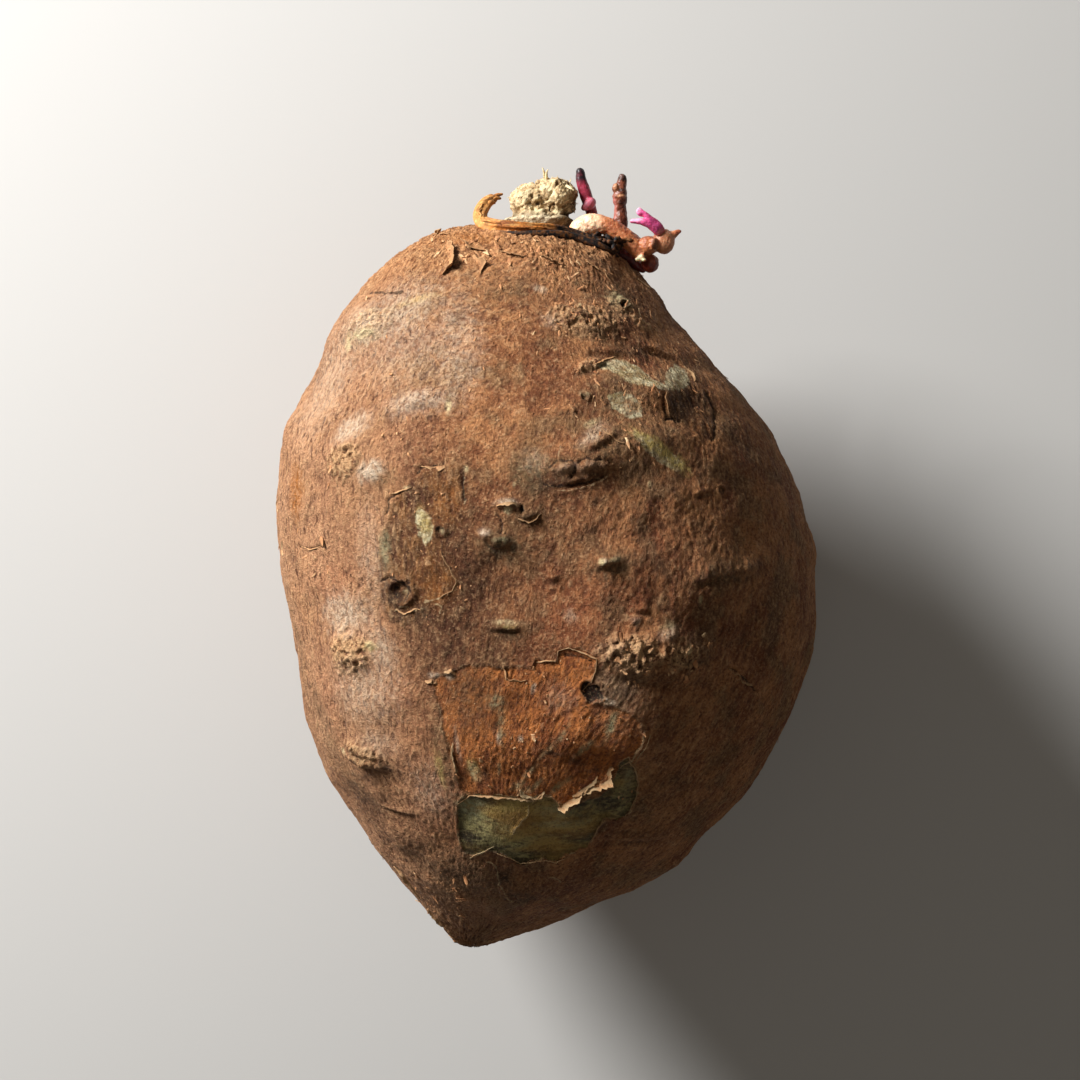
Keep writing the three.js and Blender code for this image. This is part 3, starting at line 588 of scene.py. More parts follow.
# Stains by tint, some of them painted shade or painted highlight: pixel, half length and half
# width in mm, turn, strength.
stains = {
    # Bloom: a pale bloom on the skin, with painted highlight on the tops of lumps and knobs.
    "bloomAndHighlight": [
        (534, 462, 2.4, 2.6, 60, 0.2), (566, 470, 2.2, 0.8, 4, 0.35),
        (588, 468, 2.2, 0.8, 8, 0.3), (507, 502, 2.2, 0.6, 0, 0.7),
        (483, 532, 1.1, 0.8, 0, 0.8), (602, 562, 0.7, 0.6, 0, 0.7),
        (420, 402, 6.6, 2.8, 10, 0.6), (352, 428, 4.6, 2.6, 30, 0.7),
        (373, 472, 3.0, 2.0, 20, 0.9), (400, 312, 9.0, 7.0, 30, 0.5),
        (370, 326, 8.0, 5.0, 30, 0.5), (346, 614, 6.6, 4.0, 0, 0.65),
        (366, 690, 8.0, 6.0, 0, 0.4), (380, 742, 4.5, 2.4, -14, 0.3),
        (456, 345, 5.0, 12.0, 10, 0.4), (662, 632, 2.2, 1.2, 20, 0.5),
        (607, 699, 1.5, 0.7, -20, 1.0), (370, 556, 3.0, 9.0, 4, 0.25),
        (592, 436, 3.4, 1.4, 40, 0.5), (540, 289, 1.4, 0.9, -30, 0.6),
        (550, 322, 1.8, 1.8, 0, 0.3), (382, 652, 3.0, 5.0, 0, 0.5),
        (458, 747, 0.4, 3.0, 4, 0.5), (612, 648, 3.4, 1.8, 0, 0.2),
        (571, 616, 1.2, 1.2, 0, 0.4), (632, 620, 1.0, 0.8, 0, 0.5),
        (430, 790, 4.0, 6.0, 0, 0.3), (498, 740, 0.5, 1.2, 0, 0.8),
        (520, 740, 0.5, 0.6, 0, 1.0), (533, 690, 0.4, 1.0, -20, 1.0),
        (449, 676, 0.8, 0.8, 0, 0.8), (432, 676, 1.0, 0.6, 0, 0.9),
        (560, 700, 3.0, 3.0, 0, 0.2), (330, 378, 8.0, 12.0, 0, 0.35),
        (410, 345, 12.0, 9.0, 0, 0.3), (620, 692, 6.0, 8.0, 0, 0.15),
    ],
    # Pale: cream flecks; on the brow's crest at pixel (505, 623) it is partly painted highlight.
    "pale": [
        (364, 336, 2.6, 0.8, 16, 0.8), (352, 345, 0.7, 1.8, 0, 0.8),
        (449, 406, 0.5, 1.7, 6, 1.0), (372, 645, 1.0, 0.8, 0, 0.8),
        (474, 772, 1.0, 1.9, 8, 1.0), (499, 769, 0.4, 1.2, -8, 0.8),
        (524, 792, 1.6, 0.7, 30, 0.5), (536, 786, 0.5, 1.8, -40, 0.6),
        (346, 750, 1.6, 0.7, -20, 0.6), (505, 623, 2.8, 0.5, -3, 0.6),
        (600, 562, 0.7, 0.6, 0, 1.0), (650, 484, 0.4, 0.6, 0, 0.9),
        (694, 600, 0.4, 0.9, 0, 0.9), (680, 649, 0.5, 1.2, -20, 0.7),
        (403, 592, 0.5, 0.5, 0, 1.0), (508, 510, 0.9, 0.6, 20, 1.3),
        (578, 308, 0.3, 0.8, -10, 0.9), (466, 469, 0.5, 0.6, 0, 0.9),
        (407, 488, 0.8, 0.3, 0, 0.9), (514, 485, 0.4, 0.4, 0, 0.8),
        (442, 531, 0.5, 0.5, 0, 0.9), (584, 396, 1.0, 0.8, 0, 0.5),
        (619, 297, 1.4, 0.8, -20, 0.5), (590, 424, 1.8, 0.6, 30, 0.6),
        (546, 752, 0.5, 2.4, -44, 0.5), (530, 772, 0.6, 2.0, -44, 0.6),
        (518, 786, 0.7, 1.6, -50, 0.8), (404, 592, 0.6, 0.5, 0, 0.9),
    ],
    "mint": [
        (609, 722, 0.8, 3.4, -14, 0.9), (384, 546, 1.2, 3.6, 0, 0.6),
        (619, 302, 2.8, 2.2, -30, 0.5), (664, 625, 2.4, 1.2, 20, 0.4),
        (364, 338, 4.6, 1.6, 10, 0.35), (496, 704, 1.8, 1.6, 0, 0.6),
        (500, 722, 0.8, 5.0, 0, 0.6), (468, 810, 2.4, 3.0, 0, 1.0),
        (566, 824, 6.0, 0.9, 6, 0.7), (500, 540, 1.6, 0.5, 0, 0.5),
        (612, 560, 1.2, 0.5, 10, 0.5), (562, 736, 0.5, 2.6, -30, 0.5),
        (584, 748, 0.7, 2.4, -40, 0.7), (560, 786, 0.7, 2.4, -50, 0.8),
        (472, 806, 2.2, 1.4, 0, 1.1), (560, 812, 4.0, 1.6, 0, 0.6),
        (628, 778, 1.2, 2.6, 0, 0.7),
    ],
    # Dark: partly real dark patches, partly painted shade under ridges, knobs and flaps and in
    # hollows.
    "dark": [
        (642, 352, 2.4, 1.6, -10, 0.7), (672, 405, 2.0, 2.8, 0, 0.8),
        (688, 402, 4.6, 2.8, 0, 0.5), (622, 442, 2.8, 1.4, 10, 0.6),
        (545, 484, 2.6, 1.6, 0, 0.6), (592, 487, 5.4, 0.7, 8, 0.3),
        (505, 550, 3.0, 1.4, -6, 0.35), (520, 516, 2.4, 0.6, 0, 0.5),
        (496, 520, 1.0, 2.4, -20, 0.3), (535, 522, 1.8, 0.5, 12, 0.6),
        (506, 636, 3.2, 0.9, 0, 0.4), (611, 571, 3.2, 1.1, 4, 0.4),
        (591, 563, 1.0, 1.2, 0, 0.6), (386, 586, 1.0, 1.4, 0, 0.6),
        (395, 598, 1.8, 1.6, 0, 0.7), (668, 676, 8.0, 1.4, -6, 0.5),
        (716, 579, 4.8, 1.6, 8, 0.5), (750, 566, 4.0, 1.0, 14, 0.35),
        (388, 765, 1.8, 0.9, -30, 0.7), (398, 812, 3.4, 0.6, -12, 0.5),
        (522, 897, 3.6, 1.7, -10, 0.8), (503, 878, 1.5, 2.2, 0, 0.8),
        (640, 834, 7.5, 1.6, 4, 0.45), (553, 754, 2.4, 0.7, -10, 0.8),
        (600, 770, 2.2, 1.0, 0, 0.7), (576, 762, 2.6, 0.7, -14, 0.6),
        (420, 612, 2.4, 2.0, -6, 0.8), (600, 336, 4.4, 1.4, 0, 0.4),
        (485, 774, 0.8, 1.8, 0, 0.8), (453, 262, 0.8, 3.0, 0, 0.8),
        (500, 245, 5.0, 1.0, 0, 0.3), (598, 262, 7.0, 1.6, -24, 0.5),
        (440, 870, 5.0, 3.0, -44, 0.25), (630, 350, 4.0, 1.4, -10, 0.4),
        (590, 374, 2.4, 0.6, 10, 0.6), (480, 848, 3.0, 0.8, 10, 0.6),
        (462, 830, 0.8, 4.0, 0, 0.6), (590, 812, 5.0, 1.6, 30, 0.6),
        (540, 854, 5.0, 0.8, 0, 0.5), (432, 530, 1.0, 2.0, -58, 0.4),
        (410, 616, 4.0, 1.8, 0, 0.5), (467, 850, 2.4, 1.0, 0, 0.8),
        (604, 803, 6.0, 2.2, 24, 0.9), (500, 852, 7.0, 0.9, -6, 0.6),
        (468, 842, 1.6, 2.4, 0, 0.6),
    ],
    "ochre": [
        (470, 238, 9.0, 2.4, 2, 0.7), (560, 250, 9.0, 2.4, -8, 0.3),
        (296, 490, 2.8, 6.0, 8, 1.0), (660, 405, 3.0, 3.0, 0, 0.5),
        (700, 430, 4.0, 4.0, 0, 0.3), (448, 936, 5.0, 1.6, -48, 0.7),
        (468, 944, 3.0, 1.2, -20, 0.7), (808, 548, 2.0, 3.0, 0, 0.4),
        (434, 585, 4.0, 5.0, 0, 0.5), (474, 772, 2.0, 3.0, 8, 0.5),
        (446, 500, 3.4, 6.0, -6, 0.45), (512, 826, 4.0, 3.0, 0, 0.6),
        (570, 835, 4.0, 1.4, 0, 0.3), (626, 406, 3.0, 1.6, -30, 0.4),
        (628, 776, 1.6, 3.0, 0, 0.4),
    ],
    # Umber: brown stains, and painted shade in the hollow band left of the middle and beside
    # scars.
    "umberAndShade": [
        (408, 600, 6.0, 5.0, 0, 0.6), (640, 410, 12.0, 8.0, -20, 0.35),
        (590, 482, 11.0, 3.0, 6, 0.25), (530, 540, 14.0, 16.0, 0, 0.45),
        (590, 325, 10.0, 5.0, -14, 0.4), (435, 700, 3.0, 12.0, 0, 0.35),
        (620, 285, 12.0, 6.0, -40, 0.4), (470, 700, 8.0, 6.0, 0, 0.45),
        (530, 655, 12.0, 3.4, 0, 0.4), (440, 900, 12.0, 5.0, -44, 0.4),
        (560, 885, 16.0, 6.0, 10, 0.3), (365, 755, 6.0, 4.0, -16, 0.3),
        (484, 605, 10.0, 15.0, 0, 0.85), (432, 545, 6.0, 16.0, 0, 0.4),
        (368, 805, 10.0, 6.0, -50, 0.9), (442, 600, 8.5, 24.0, 0, 1.15),
        (480, 880, 10.0, 6.0, 0, 0.4), (560, 765, 9.0, 3.0, -10, 0.25),
        (340, 470, 5.0, 3.0, 0, 0.3), (450, 678, 9.0, 14.0, 0, 0.8),
        (424, 620, 4.0, 9.0, 0, 0.7),
    ],
    "blush": [
        (450, 790, 9.0, 12.0, 0, 0.3), (420, 710, 6.0, 9.0, 0, 0.25),
        (575, 600, 16.0, 10.0, 0, 0.35), (330, 690, 6.0, 9.0, 0, 0.2),
        (640, 560, 14.0, 10.0, 0, 0.2), (330, 585, 7.0, 5.0, 0, 0.3),
    ],
    "olive": [
        (534, 470, 4.4, 3.6, 20, 0.9), (562, 478, 8.0, 2.2, 6, 0.3),
        (384, 478, 3.0, 2.0, 0, 0.6), (607, 567, 4.0, 2.4, 0, 0.7),
        (500, 546, 5.0, 3.0, 0, 0.8), (560, 462, 4.0, 1.2, 4, 0.6),
        (600, 452, 6.0, 2.6, 20, 0.5), (518, 520, 3.0, 2.6, 0, 0.5),
        (640, 425, 12.0, 9.0, -30, 0.45), (716, 574, 9.0, 3.0, 10, 0.6),
        (620, 300, 5.0, 4.0, 0, 0.6), (470, 880, 12.0, 7.0, -20, 0.5),
        (300, 650, 2.4, 16.0, 10, 0.4), (330, 740, 4.0, 14.0, 20, 0.4),
        (470, 700, 5.0, 7.0, 0, 0.4), (445, 760, 2.4, 9.0, 4, 0.5),
        (508, 632, 3.6, 1.6, 0, 0.5), (500, 290, 14.0, 5.0, 0, 0.25),
        (640, 800, 10.0, 9.0, 0, 0.3),
    ],
    "straw": [
        (658, 450, 5.6, 1.4, -34, 1.3), (677, 463, 2.6, 1.5, -34, 1.2),
        (507, 808, 4.0, 1.2, 20, 0.6), (514, 836, 3.0, 1.6, 30, 0.6),
        (440, 770, 0.8, 4.0, 0, 0.5), (508, 627, 2.2, 0.4, -3, 0.3),
        (473, 768, 1.1, 2.2, 8, 0.8), (424, 522, 1.1, 3.0, 22, 0.4),
        (372, 646, 1.4, 0.9, 0, 0.8), (414, 300, 5.0, 1.0, 20, 0.3),
        (590, 820, 6.0, 1.2, 20, 0.3), (504, 826, 3.4, 2.4, 0, 0.4),
    ],
}

# Where the outer skin has changed: outlines in pixels. It has gone from rust brown flesh and
# from a green film, is worn to ridges, is glazed by a pale film, or opens in a hole.
patches = {
    "rust": [[
        (432, 678), (452, 672), (470, 664), (500, 668), (530, 668), (538, 660), (556, 664),
        (560, 651), (580, 648), (597, 656), (595, 672), (588, 682), (583, 692), (586, 700),
        (600, 704), (612, 706), (628, 712), (640, 722), (643, 738), (636, 752), (630, 764),
        (616, 772), (604, 780), (594, 788), (580, 798), (566, 806), (552, 800), (528, 802),
        (500, 799), (480, 797), (466, 800), (460, 788), (455, 770), (449, 750), (443, 730),
        (440, 712), (434, 696),
    ]],
    "worn": [[
        (400, 492), (412, 482), (424, 470), (443, 466), (464, 469), (470, 482), (466, 502),
        (461, 522), (450, 545), (448, 562), (456, 580), (446, 594), (430, 604), (424, 616),
        (404, 628), (388, 622), (380, 600), (380, 586), (378, 570), (376, 552), (384, 528),
        (390, 508),
    ], [(690, 382), (706, 394), (714, 412), (714, 436), (702, 444), (688, 426), (668, 420),
        (662, 404), (674, 392)], [(500, 668), (528, 666), (529, 676), (524, 682), (505, 683),
        (501, 676)]],
    "green": [[
        (459, 802), (466, 797), (480, 795), (500, 796), (520, 799), (530, 801), (540, 795),
        (552, 797), (560, 806), (568, 811), (578, 804), (590, 799), (602, 795), (610, 787),
        (615, 777), (621, 765), (628, 758), (634, 766), (638, 780), (636, 796), (628, 812),
        (618, 820), (604, 818), (597, 830), (588, 846), (578, 851), (566, 855), (556, 862),
        (544, 858), (530, 863), (518, 865), (508, 857), (498, 852), (488, 850), (474, 857),
        (464, 852), (460, 840), (457, 820),
    ]],
    "film": [
        [(594, 366), (606, 360), (622, 359), (638, 366), (652, 379), (664, 385), (666, 372),
         (676, 363), (686, 368), (690, 386), (678, 391), (655, 390), (640, 386), (626, 381),
         (610, 372)],
        [(606, 396), (620, 390), (634, 396), (643, 408), (641, 418), (628, 419), (614, 410)],
        [(634, 430), (648, 436), (662, 448), (676, 455), (686, 463), (683, 471), (672, 471),
         (660, 463), (646, 451), (636, 441)],
        [(415, 512), (420, 507), (428, 514), (434, 526), (433, 538), (426, 546), (420, 536),
         (416, 524)],
    ],
    "hole": [
        [(583, 683), (589, 681), (592, 685), (599, 686), (601, 692), (606, 697), (596, 699),
         (590, 702), (584, 696), (581, 690)],
        [(517, 507), (522, 506), (526, 510), (521, 513)],
        [(619, 304), (624, 303), (625, 308), (620, 309)],
    ],
}
# Cracks in the skin, in pixels: some with an edge that catches the light and is also painted
# cream, partly as painted highlight, and some dark, with painted shade in their grooves.
paleCracks = [
    [(645, 729), (641, 742), (636, 750), (632, 762)], [(452, 744), (452, 758), (456, 772)],
    [(448, 594), (436, 600), (424, 601)],
    [(396, 610), (404, 606), (414, 611), (424, 608)], [(434, 605), (442, 606), (440, 614)],
    [(528, 806), (528, 816), (520, 824), (512, 834)],
    [(487, 862), (496, 866), (500, 884), (506, 896), (512, 901)],
    [(548, 876), (557, 878), (560, 882)], [(556, 491), (575, 490), (592, 485), (608, 477)],
    [(596, 367), (612, 371), (626, 378), (640, 384)], [(604, 362), (620, 364), (634, 372)],
    [(464, 476), (463, 490), (465, 504)], [(560, 447), (558, 456), (560, 462)],
]
darkCracks = [
    [(418, 474), (422, 467), (443, 467), (444, 461)], [(299, 547), (310, 549), (322, 546)],
    [(386, 512), (388, 502), (394, 494), (404, 491)], [(464, 472), (462, 482), (464, 500)],
    [(706, 394), (714, 408), (716, 424), (712, 440)], [(369, 291), (384, 293), (402, 292)],
    [(544, 484), (560, 486), (575, 485), (590, 481), (606, 475)],
    [(549, 467), (556, 462), (568, 460), (575, 464), (574, 472), (571, 478)],
    [(577, 463), (588, 459), (600, 460), (612, 463)], [(617, 248), (640, 262), (652, 284)],
    [(729, 668), (738, 673), (747, 682), (756, 690)],
    [(565, 655), (580, 657), (592, 662)], [(663, 394), (663, 404), (667, 418), (680, 421)],
    [(498, 514), (502, 524), (500, 534)], [(380, 582), (388, 578), (398, 580), (410, 582)],
]
farAway = 6.0  # mm, where no patch or crack is near
shownFrom = 45  # mm above the floor, lower than any patch or crack lies
markReach = 30  # mm from its middle, farther than any mark reaches

# How high or deep the skin's relief is, in mm.
relief = {"lumps": 0.45, "smallLumps": 0.22, "wrinkles": 0.16, "leather": 0.13,
          "crags": 0.13, "dry": 0.35, "fibres": 0.8, "tip": 0.5, "streaks": 0.11,
          "wornRidges": 0.24, "patchLip": 0.1, "patchDepth": 0.2, "holeLip": 0.15,
          "holeDepth": 0.9, "paleCrack": 0.16, "darkCrack": 0.35}


def pathDistance(points, path, closed):
    best = np.full(len(points), 1e9)
    inside = np.zeros(len(points), bool)
    x, y = points.T
    ends = zip(path, np.roll(path, -1, 0)) if closed else zip(path[:-1], path[1:])
    for a, b in ends:
        side = b - a
        t = np.clip(((points - a) @ side) / (side @ side), 0, 1)
        best = np.minimum(best, ((points - a - t[:, None] * side) ** 2).sum(1))
        if closed and a[1] != b[1]:
            inside ^= ((a[1] > y) != (b[1] > y)) & (
                x < a[0] + (y - a[1]) * side[0] / side[1])
    return np.where(inside, -1, 1) * np.sqrt(best)


def patchDistance(points, outlines, closed=True):
    total = np.full(len(points), farAway)
    wander = np.stack([noiseB(points / 1.6) + 0.5 * noiseC(points / 0.7),
                       noiseC(points / 1.6 + 9) + 0.5 * noiseA(points / 0.7)], -1)
    warped = points[:, :2] + 0.3 * wander
    for outline in outlines:
        path = np.array([tuberPoint(seenAt(*p))[:2] for p in outline])
        low, high = path.min(0) - farAway, path.max(0) + farAway
        near = ((warped > low) & (warped < high)).all(1) & (points[:, 2] > shownFrom)
        total[near] = np.minimum(total[near], pathDistance(warped[near], path, closed))
    return np.clip(total, -farAway, farAway)


# Coordinates in mm that run round and along the skin, leaning a little on its right side.
def growthPlace(direction):
    turn = np.arccos(np.clip(-direction[:, 1], -1, 1))
    table = np.linspace(0, math.pi, 400)
    girths, lengths = reachAt(table) * np.sin(table), tuberLength * (1 - np.cos(table)) / 2
    arc = np.concatenate([[0], np.cumsum(np.hypot(np.diff(girths), np.diff(lengths)))])
    along = np.interp(turn, table, arc)
    across = unit(direction[:, [0, 2]])
    lean = 0.3 * (along - arc[-1] / 2) / 50 * smoothStep(-0.6, 0.3, across[:, 0])
    angle = np.arctan2(across[:, 1], across[:, 0]) + lean
    girth = 18 + 0.64 * reachAt(turn) * np.sin(turn)
    return np.stack([girth * np.cos(angle), along, girth * np.sin(angle)], -1)


def makeTuber():
    direction, quads, grid, places = roundedCube(tuber["divisions"])
    helper = np.where(np.abs(direction[:, 1:2]) < 0.9, [[0.0, 1.0, 0.0]], [[1.0, 0.0, 0.0]])
    first = unit(np.cross(helper, direction))
    second = np.cross(direction, first)
    plain = tuberPoint(direction)
    step = 1e-4
    normal = unit(np.cross(tuberPoint(unit(direction + step * first)) - plain,
                           tuberPoint(unit(direction + step * second)) - plain))
    growth = growthPlace(direction)
    formed = plain + normal * swellingHeight(plain)[:, None]
    print("tuber: form ready,", len(plain), "points")

    # Noise with waves of a size in mm, which can be longer along the root.
    def waves(noise, places, along, size, shift=0):
        return noise(places * np.array([1, along, 1]) / size + shift)

    # Lumps, wrinkles that follow the length, and rough fibres at the crown and the tip.
    x, y = formed[:, 0], formed[:, 1]
    lumps = (relief["lumps"] * noiseA(formed / 9)
             + relief["smallLumps"] * noiseB(formed / 4.2))
    bend = growth + 0.5 * np.stack([noiseA(formed / 3), noiseB(formed / 3),
                                    noiseC(formed / 3)], -1)
    long = waves(noiseC, bend, 0.34, 0.85)
    leather = waves(noiseA, bend, 0.75, 0.75)
    crags = np.abs(waves(noiseB, bend, 0.4, 1.9, shift=11))
    dashShare = smoothStep(-5, -32, x) * 0.7 + 0.4 * smoothStep(15, 45, y)
    dashShare = np.clip(dashShare + 0.3 * noiseC(formed / 13), 0, 1)
    wrinkles = (relief["wrinkles"] * dashShare * long
                + relief["leather"] * (1 - 0.5 * dashShare) * leather
                - relief["crags"] * (crags - 0.3))
    toCrown = np.linalg.norm((formed - tuberPoint(np.array([0.0, 1.0, 0.0])))
                             * np.array([0.75, 1, 1]), axis=1)
    crownShare = smoothStep(30, 10, toCrown)
    fibres = np.abs(waves(noiseC, growth, 0.14, 0.9))
    wrinkles += crownShare * (relief["dry"] - relief["fibres"] * fibres
                              + 0.3 * noiseA(formed / 1.8))
    tipShare = smoothStep(18, 4, np.linalg.norm(
        formed - tuberPoint(np.array([0.0, -1.0, 0.0])), axis=1))
    wrinkles += tipShare * relief["tip"] * waves(noiseB, growth, 0.3, 1.4)

    # Scars.
    rise = np.zeros(len(plain))
    values = {name: np.zeros(len(plain)) for name in [*stains, "cork"]}
    roughA = noiseA(formed / 0.95)
    roughB = np.abs(noiseB(formed / 1.5))
    spots = noiseC(formed / 1.1)

    def local(at, turnDegrees):
        if isinstance(at, tuple):
            at = seenAt(*at)
        middle, lengthways, sideways, _ = markPlace(at, turnDegrees)
        away = formed - middle
        near = np.linalg.norm(away, axis=1) < markReach
        return near, away[near] @ lengthways, away[near] @ sideways

    def stain(name, near, strength):
        values[name][near] = np.maximum(values[name][near], strength)

    def addScar(kind, at, long, wide, height, turnDegrees):
        near, u, v = local(at, turnDegrees)
        v = v + 0.35 * wide * noiseC(formed[near] / 3)
        u, v = u / long, v / wide
        if kind == "brow":
            slope = np.where(v > 0, v / 1.7, v / 0.5)
            ridge = np.exp(-(u * u) * 1.3 - slope * slope)
            crease = np.exp(-(u * u) * 1.5 - ((v + 1.1) / 0.4) ** 2)
            rise[near] += height * (ridge * (1 + 0.25 * roughA[near]) - 0.5 * crease)
            # The crease under the brow is painted dark as painted shade.
            stain("dark", near, 0.6 * crease)
        elif kind == "knob":
            rise[near] += height * np.exp(-1.2 * (u * u + v * v)) * (1 + 0.3 * roughA[near])
        elif kind == "cork":
            inside = smoothStep(1.15, 0.5, np.hypot(u, v) + 0.3 * spots[near])
            pits = smoothStep(0.05, 0.45, roughA[near])
            rise[near] += inside * height * (0.3 + 1.1 * roughB[near] - 0.8 * pits)
            stain("cork", near, inside)
            # The cork's pits are painted umber, partly as painted shade in them.
            stain("umberAndShade", near, 0.5 * inside * pits)
        else:
            r = np.hypot(u, v)
            rise[near] += height * (bell(r - 1, 0.32) - 0.8 * np.exp(-r * r * 2.5)
                                    + 0.7 * np.exp(-r * r * 14))
            # The crater's inner slope is painted dark, partly as painted shade in its hollow.
            stain("dark", near, 1.1 * bell(r - 0.6, 0.3))

    for kind, marks in scars.items():
        for px, py, *shape in marks:
            addScar(kind, (px, py), *shape)
    for k, (at, size, turned) in enumerate(lowerMarks()):
        kind = ("brow", "cork", "brow")[k % 3]
        addScar(kind, at, 5 * size, (1.6 if kind == "brow" else 3.2) * size, 0.8, turned)
    for name, marks in stains.items():
        for px, py, long, wide, turned, strength in marks:
            near, u, v = local((px, py), turned)
            r = np.hypot(u / long, v / wide) + 0.3 * spots[near] + 0.15 * roughA[near]
            stain(name, near, strength * smoothStep(1.5, 0.1, r))
    print("tuber: scars and stains placed")

    # Patches without their outer skin lie lower, with a lip round them.
    edges = {kind: patchDistance(formed, outlines) for kind, outlines in patches.items()}
    pale = patchDistance(formed, paleCracks, closed=False)
    dark = patchDistance(formed, darkCracks, closed=False)
    bare = np.minimum(edges["rust"], edges["green"])
    inside, green, film = (smoothStep(0.1, -0.2, distance)
                           for distance in (bare, edges["green"], edges["film"]))
    worn = smoothStep(0.5, -1.0, edges["worn"])
    streaks = waves(noiseC, bend, 0.5, 0.85)
    ridges = waves(noiseB, growth, 0.3, 0.9)
    wrinkles = (wrinkles * (1 - 0.5 * inside - 0.4 * green - 0.4 * film)
                + (inside - green * 0.7) * relief["streaks"] * streaks
                + worn * relief["wornRidges"] * ridges)
    rise += relief["patchLip"] * bell(bare - 0.2, 0.28)
    rise -= relief["patchDepth"] * inside
    rise += relief["holeLip"] * bell(edges["hole"] - 0.2, 0.25)
    rise -= relief["holeDepth"] * smoothStep(0.15, -0.35, edges["hole"])
    rise += relief["paleCrack"] * bell(pale, 0.3)
    rise -= relief["darkCrack"] * bell(dark, 0.28)

    points = formed + normal * (lumps + wrinkles + rise)[:, None]
    points[:, 2] = np.maximum(points[:, 2], 0)
    made = makeMesh("tuber_skin", points, [quads], places)
    values.update({kind + "Edge": distance for kind, distance in edges.items()})
    setValues(made, dict(values, paleLine=pale, darkLine=dark, wrinkle=wrinkles,
                         dashShare=dashShare, crownShare=crownShare, growth=growth,
                         leftShare=smoothStep(-8, -36, x + 0.15 * y)))
    return made, grid, points, normal


tuberSkin, skinGrid, skinPoints, skinNormals = makeTuber()
print("tuber: mesh done")

skinLook = {
    "tan": tone(190, 130, 81), "brown": tone(130, 75, 41), "leftTan": tone(196, 145, 106),
    "blush": tone(172, 94, 56), "grooveAndShade": tone(84, 43, 24), "dustAndHighlight": tone(226, 180, 132),
    "speckAndShade": tone(36, 21, 13), "bloomAndHighlight": tone(226, 202, 174), "pale": tone(236, 214, 162),
    "mint": tone(164, 162, 122), "dark": tone(36, 30, 22), "ochre": tone(166, 100, 38),
    "umberAndShade": tone(84, 50, 26), "olive": tone(104, 88, 58), "straw": tone(222, 194, 112),
    "rustLight": tone(216, 130, 62), "rustDark": tone(142, 73, 31),
    "wornLight": tone(132, 88, 46), "wornDark": tone(66, 42, 23), "hole": tone(14, 14, 11),
    "filmLight": tone(244, 234, 194), "filmDark": tone(166, 146, 94),
    "greenLight": tone(180, 170, 112), "greenDark": tone(66, 64, 40),
    "greenYellow": tone(186, 144, 66), "corkLight": tone(236, 188, 136),
    "corkDark": tone(172, 116, 72), "cream": tone(222, 196, 150),
    "crownLight": tone(242, 178, 120), "crownDark": tone(150, 94, 54),
}


